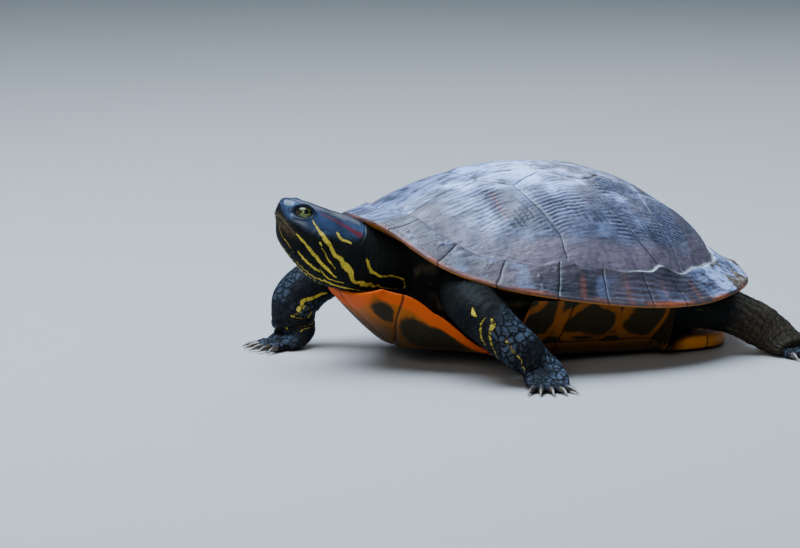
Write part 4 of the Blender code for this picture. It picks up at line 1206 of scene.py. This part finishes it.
def clawMesh(name, rows, length):
    # curved cones: round at the toe, narrowing as they bend down to the floor
    parts, count = [], 0
    u = np.linspace(0, 1, claw["rows"])[:, None]
    a = roundCount(claw["columns"])[None, :, None]
    radius = claw["radius"] * (1 - 0.84 * u ** 1.3) * ease(-0.3, 0.06, u)
    upward = np.sin(a) * np.array([0, 0, 1.15]) * (1 - 0.12 * (np.sin(a) < 0))
    for start, d in rows:
        z = start[2] + (claw["tipHeight"] - start[2]) * u ** 1.6 + 0.7 * np.sin(math.pi * u)
        centre = start + d * (length * u) + [0, 0, 1] * (z - start[2])
        rings = centre[:, None] + radius[..., None] * (np.cos(a) * np.cross(d, [0, 0, 1.0]) + upward)
        rings[..., 2] = np.maximum(rings[..., 2], 0.05)
        points, quads, triangles = closedTube(rings)
        tip = np.append((u + 0 * a[..., 0]).ravel(), [0, 1])
        parts.append((points, quads + count, triangles + count, tip))
        count += len(points)
    points, quads, triangles, tip = (np.concatenate(group) for group in zip(*parts))
    return makeMesh(name, points, quads, triangles, {"tip": tip})


def headPart():
    # the head's markings, the crease behind it and the neck's folds and scales
    local, grid = headGrid()
    onHead = slice(len(local))
    size = grid.shape[1]
    a = roundCount(size)[None] * np.ones((len(grid), 1))
    s = runAlong(grid.mean(1))[:, None] + 0 * a
    around = np.degrees(np.arctan2(np.sin(a), np.abs(np.cos(a))))     # -90 below, 0 beside, 90 on top
    onNeck = ease(46, 56, s - 0.10 * around)
    toCrease = head["crease"] + head["creaseSlant"] * around - s
    fold = 0.5 * grainAt(grid, 8, 53) - toCrease
    folds = ripple(s / 2.9 + 0.9 * grainAt(grid, 12, 61)) * np.clip(0.4 + grainAt(grid, 11, 62), 0, 1)
    edge = scalesAt(s / 1.9, a / fullTurn * 46, 46, 63)
    move = onNeck * (0.26 * folds + 0.5 * grainAt(grid, 13, 64) + 0.16 * (ease(0, 0.5, edge) - 0.5))
    move = move - (0.65 * peak(fold, 0, 0.6) - 0.30 * peak(fold, 1.3, 0.8)) * ease(16, 32, around)
    grid = moved(grid, outwardFrom(grid), move)
    wobble = 0.45 * grainAt(grid, 3.2, 65)
    level = around * head["perDegree"]
    yellow = stripeDepth(s + wobble, level + wobble, headYellow)
    red = stripeDepth(s, level, headRed)
    # the head's smooth skin: it takes the painted bluish sheen, less on top and little round the eyes, and is
    # smoother and glossier
    smoothSheenHead = ease(-34, 6, around) * ease(-3, 3, toCrease) * ease(24, 44, 50 - s + around)
    smoothSheenHead = smoothSheenHead * (1 - 0.45 * ease(45, 75, around))
    smoothSheenHead = smoothSheenHead * np.clip(0.85 + 0.6 * grainAt(grid, 7, 66), 0.3, 1)
    for sign in (1, -1):
        b, c, h, _ = eyeReach(local, sign)
        smoothSheenHead[onHead] *= 0.35 + 0.65 * ease(1.25, 1.6, np.where(h > 0, np.hypot(b, c), 9))
    beak = np.zeros(s.shape)
    back, up = local[..., 1], local[..., 2]
    gap = up - np.interp(back, *np.array(mouthLine).T)
    beak[onHead] = peak(gap, 0.9, 1.6) * ease(22, 10, back) + 0.6 * peak(gap, -1.6, 1.2) * ease(16, 8, back)
    crease = np.where(onNeck > 0.5, edge + 0.12, 1.0)
    lips = 0.45 * np.abs(gap + 0.25 * grainAt(local, 2.5, 67))
    lips = lips + 0.3 * ease(head["mouthEnd"] - 1, head["mouthEnd"] + 1, back)
    crease[onHead] = np.minimum(crease[onHead], lips)
    markings = dict(yellow=yellow, red=red, smoothSheenHead=smoothSheenHead, beak=beak, gap=crease)
    return skinPart("head and neck", grid, **markings)


def trunkPart():
    # the body between the shell halves, folded lengthwise
    x, y, rimZ = rimPoint(roundCount(150))
    rows = []
    for across, along, height in trunkRows:
        follow = 0.25 if height < -10 else 1.0        # how much of the rim's rise the row takes part in
        rows.append(np.stack([x * across, y * along, height + rimZ * along ** 2 * follow], -1))
    grid = shellToBody(splineThrough(np.stack(rows), 6))
    folds = ripple(grid[..., 2] / 5.0 + 0.6 * grainAt(grid, 14, 71))
    grid = moved(grid, outwardFrom(grid), 0.5 * folds + 0.6 * grainAt(grid, 10, 72))
    streaks = 2.8 * grainAt(grid * [0.30, 0.30, 1.5], 5, 73) - 0.45
    return skinPart("trunk", grid, beak=np.clip(streaks, 0, 0.8), dirt=0.30)


def tailPart():
    rings, run, _ = tubeAlong(tailPath, *fineness["tail"])
    a = roundCount(rings.shape[1])[None] * np.ones((len(run), 1))
    s = run[:, None] + 0 * a
    edge = scalesAt(s / 2.4, a / fullTurn * 14, 14, 131)
    rings = moved(rings, outwardFrom(rings), 0.30 * (ease(0, 0.5, edge) - 0.6))
    yellow = stripeDepth(s, (a - math.pi) * perRadian["tail"], tailYellow)
    return skinPart("tail", rings, gap=edge, yellow=yellow, dirt=0.35)


joining = dict(
    spread=9,           # how many points away from a join the easing reaches
    fading=0.989,       # what is left of it after each of them
    filling=4,          # rounds in which a join's new points take their neighbours' markings
    rounds=14, pull=0.75,
    inset=0.0001,       # metres by which the nose and the tail's tip stay inside the solids' box
)


def joinSkin(parts):
    # one surface through Boolean unions, then the points near each join are eased towards their neighbours
    whole = parts[0]
    for other in parts[1:]:
        join = whole.modifiers.new("join " + other.name, "BOOLEAN")
        join.operation = "UNION"
        join.solver = "MANIFOLD"
        join.object = other
    graph = bpy.context.evaluated_depsgraph_get()
    mesh = bpy.data.meshes.new_from_object(whole.evaluated_get(graph))
    for part in parts:
        bpy.data.objects.remove(part, do_unlink=True)
    count = len(mesh.vertices)
    at = np.empty(count * 3)
    mesh.vertices.foreach_get("co", at)
    at = at.reshape(-1, 3)
    ends = np.empty(len(mesh.edges) * 2, np.int64)
    mesh.edges.foreach_get("vertices", ends)
    a, b = np.concatenate([ends.reshape(-1, 2), ends.reshape(-1, 2)[:, ::-1]]).T

    def around(value):
        # sum of a value over each point's neighbours
        return np.bincount(a, value[b], count)

    links = np.maximum(around(np.ones(count)), 1)
    values = {}
    for key in skinFields:
        value = np.empty(count, np.float32)
        mesh.attributes[key].data.foreach_get("value", value)
        values[key] = value.astype(float)
    new = values.pop("kept") < 0.999
    near = new.astype(float)
    for _ in range(joining["spread"]):
        near = np.clip(np.maximum(near, joining["fading"] * around(near) / links), 0, 1)
    known = ~new
    for _ in range(joining["filling"]):
        weight = around(known)
        fresh = new & ~known & (weight > 0)
        for key, value in values.items():
            values[key] = np.where(fresh, around(value * known) / np.maximum(weight, 1), value)
        known = known | (weight > 0)
    for _ in range(joining["rounds"]):
        mean = np.stack([around(at[:, i]) / links for i in range(3)], -1)
        at = at + (mean - at) * (joining["pull"] * near)[:, None]
    low, high = np.array(cadLow) + joining["inset"], np.array(cadHigh) - joining["inset"]
    at = np.clip(at, [low[0], low[1], 0.0], high)
    mesh.vertices.foreach_set("co", at.ravel())
    for key, value in values.items():
        setField(mesh, key, value)
    mesh.attributes.remove(mesh.attributes["kept"])
    mesh.materials.clear()
    mesh.shade_smooth()
    mesh.update()
    print("skin joined:", count, "points,", int(new.sum()), "of them on joins")
    return mesh


clawFinish = clawHorn()
skinParts = [headPart(), trunkPart()]
for order, (name, limb) in enumerate(limbs.items()):
    skinParts.append(legPart(name, limb, 80 + 7 * order))
    toesMade, clawRows = toeParts(name, limb)
    skinParts += toesMade
    clawNodes = [f"{limb['node']}_claw_{i + 1}" for i in range(limb["toes"])]
    makePiece(name + "Claws", clawMesh(name + "Claws", clawRows, limb["claw"]), clawFinish, clawNodes)
skinParts.append(tailPart())

fleshNodes = ["trunk", "neck", "head", "lower_jaw", "tail"]
for limb in limbs.values():
    fleshNodes += [f"{limb['node']}_{piece}" for piece in ("upper_leg", "lower_leg", "foot")]
makePiece("turtleSkin", joinSkin(skinParts), turtleSkin(), fleshNodes)


def eyeBall(sign):
    # a ball with a slightly fuller cornea in front, its markings measured from its own axis
    middle, axis, rear, rise = eyeFrame(sign, *eye["gaze"])
    down = np.linspace(0.02, math.pi - 0.02, 64)[:, None]
    a = roundCount(96)[None]
    radius = eye["radius"] + eye["cornea"] * ease(0.62, 0.0, down)
    h, r = radius * np.cos(down) + 0 * a, radius * np.sin(down)
    u, v = r * np.cos(a), r * np.sin(a)
    local = middle + h[..., None] * axis + u[..., None] * rear + v[..., None] * rise
    fromAxis = np.where(h > 0, r + 0 * a, 6.0)
    fields = {"fromAxis": np.append(fromAxis.ravel(), [0, 6]), "level": np.append(v.ravel(), [0, 0])}
    return makeMesh("eye", *closedTube(headToBody(local)), fields)


eyeFinish = turtleEye()
for name, sign in (("left", 1), ("right", -1)):
    makePiece(name + "Eye", eyeBall(sign), eyeFinish, ["eye_" + name])


studio = dict(
    floorTone=(0.345, 0.33, 0.315), floorHalf=4,
    sky=0.17, skyTone=(0.55, 0.75, 1.0, 1.0),
    azimuth=63.36, elevation=9.605, distance=2.504, lens=193.4,
    lookAt=(-0.0394, -0.0717, 0.0431),   # from where the body stands
)
lights = dict(                           # place, place it shines at, size, power and tint
    overhead=((-0.25, -0.35, 1.5), (0, 0, 0.05), 1.6, 104.0, (0.62, 0.79, 1.0)),
    window=((1.4, -1.3, 0.9), (0, 0, 0.05), 1.0, 14.0, (1.0, 0.96, 0.90)),
    rim=((-1.0, 0.9, 1.0), (0, 0, 0.08), 0.9, 6.0, (0.85, 0.92, 1.0)),
)

floorMesh = bpy.data.meshes.new("floor")
corners = [(x * studio["floorHalf"], y * studio["floorHalf"], 0)
           for x, y in ((-1, -1), (1, -1), (1, 1), (-1, 1))]
floorMesh.from_pydata(corners, [], [(0, 1, 2, 3)])
floorFinish = newFinish("studio floor", specular=0.2)
speckle = grain(30, 4, 0.55)
floorTone = mixed(speckle, tuple(0.97 * v for v in studio["floorTone"]), studio["floorTone"])
floorRough = between(speckle, 0, 1, 0.8, 0.9)
wear(floorFinish, floorTone, floorRough, bumps((speckle, 0.0002)))
floorMesh.materials.append(floorFinish)
floor = addToScene("floor", floorMesh)
floor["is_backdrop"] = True

world = bpy.data.worlds.new("soft studio")
world.use_nodes = True
world.node_tree.nodes["Background"].inputs["Color"].default_value = studio["skyTone"]
world.node_tree.nodes["Background"].inputs["Strength"].default_value = studio["sky"]
bpy.context.scene.world = world

for name, (place, target, size, power, tint) in lights.items():
    light = bpy.data.lights.new(name, "AREA")
    light.shape = "DISK"
    light.size = size
    light.energy = power
    light.color = tint
    lamp = addToScene(name, light)
    lamp.location = place
    x, y, z = np.array(target) - np.array(place)
    lamp.rotation_euler = (math.atan2(math.hypot(x, y), -z), 0, math.atan2(x, -y) + math.pi)
print("lit by", ", ".join(lights))

azimuth, elevation = math.radians(studio["azimuth"]), math.radians(studio["elevation"])
backward = np.array([math.sin(azimuth) * math.cos(elevation), -math.cos(azimuth) * math.cos(elevation),
                     math.sin(elevation)])
camera = addToScene("camera", bpy.data.cameras.new("camera"))
camera.location = bodyPlace * mm + np.array(studio["lookAt"]) + backward * studio["distance"]
camera.rotation_euler = (math.pi / 2 - elevation, 0, azimuth)
camera.data.lens = studio["lens"]
camera.data.sensor_width = 36
camera.data.clip_start, camera.data.clip_end = 0.1, 20
bpy.context.scene.camera = camera

newLow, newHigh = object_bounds()
for title, box in (("solid box", (cadLow, cadHigh)), ("shown box", (newLow, newHigh))):
    print(title, [tuple(round(v, 4) for v in corner) for corner in box])
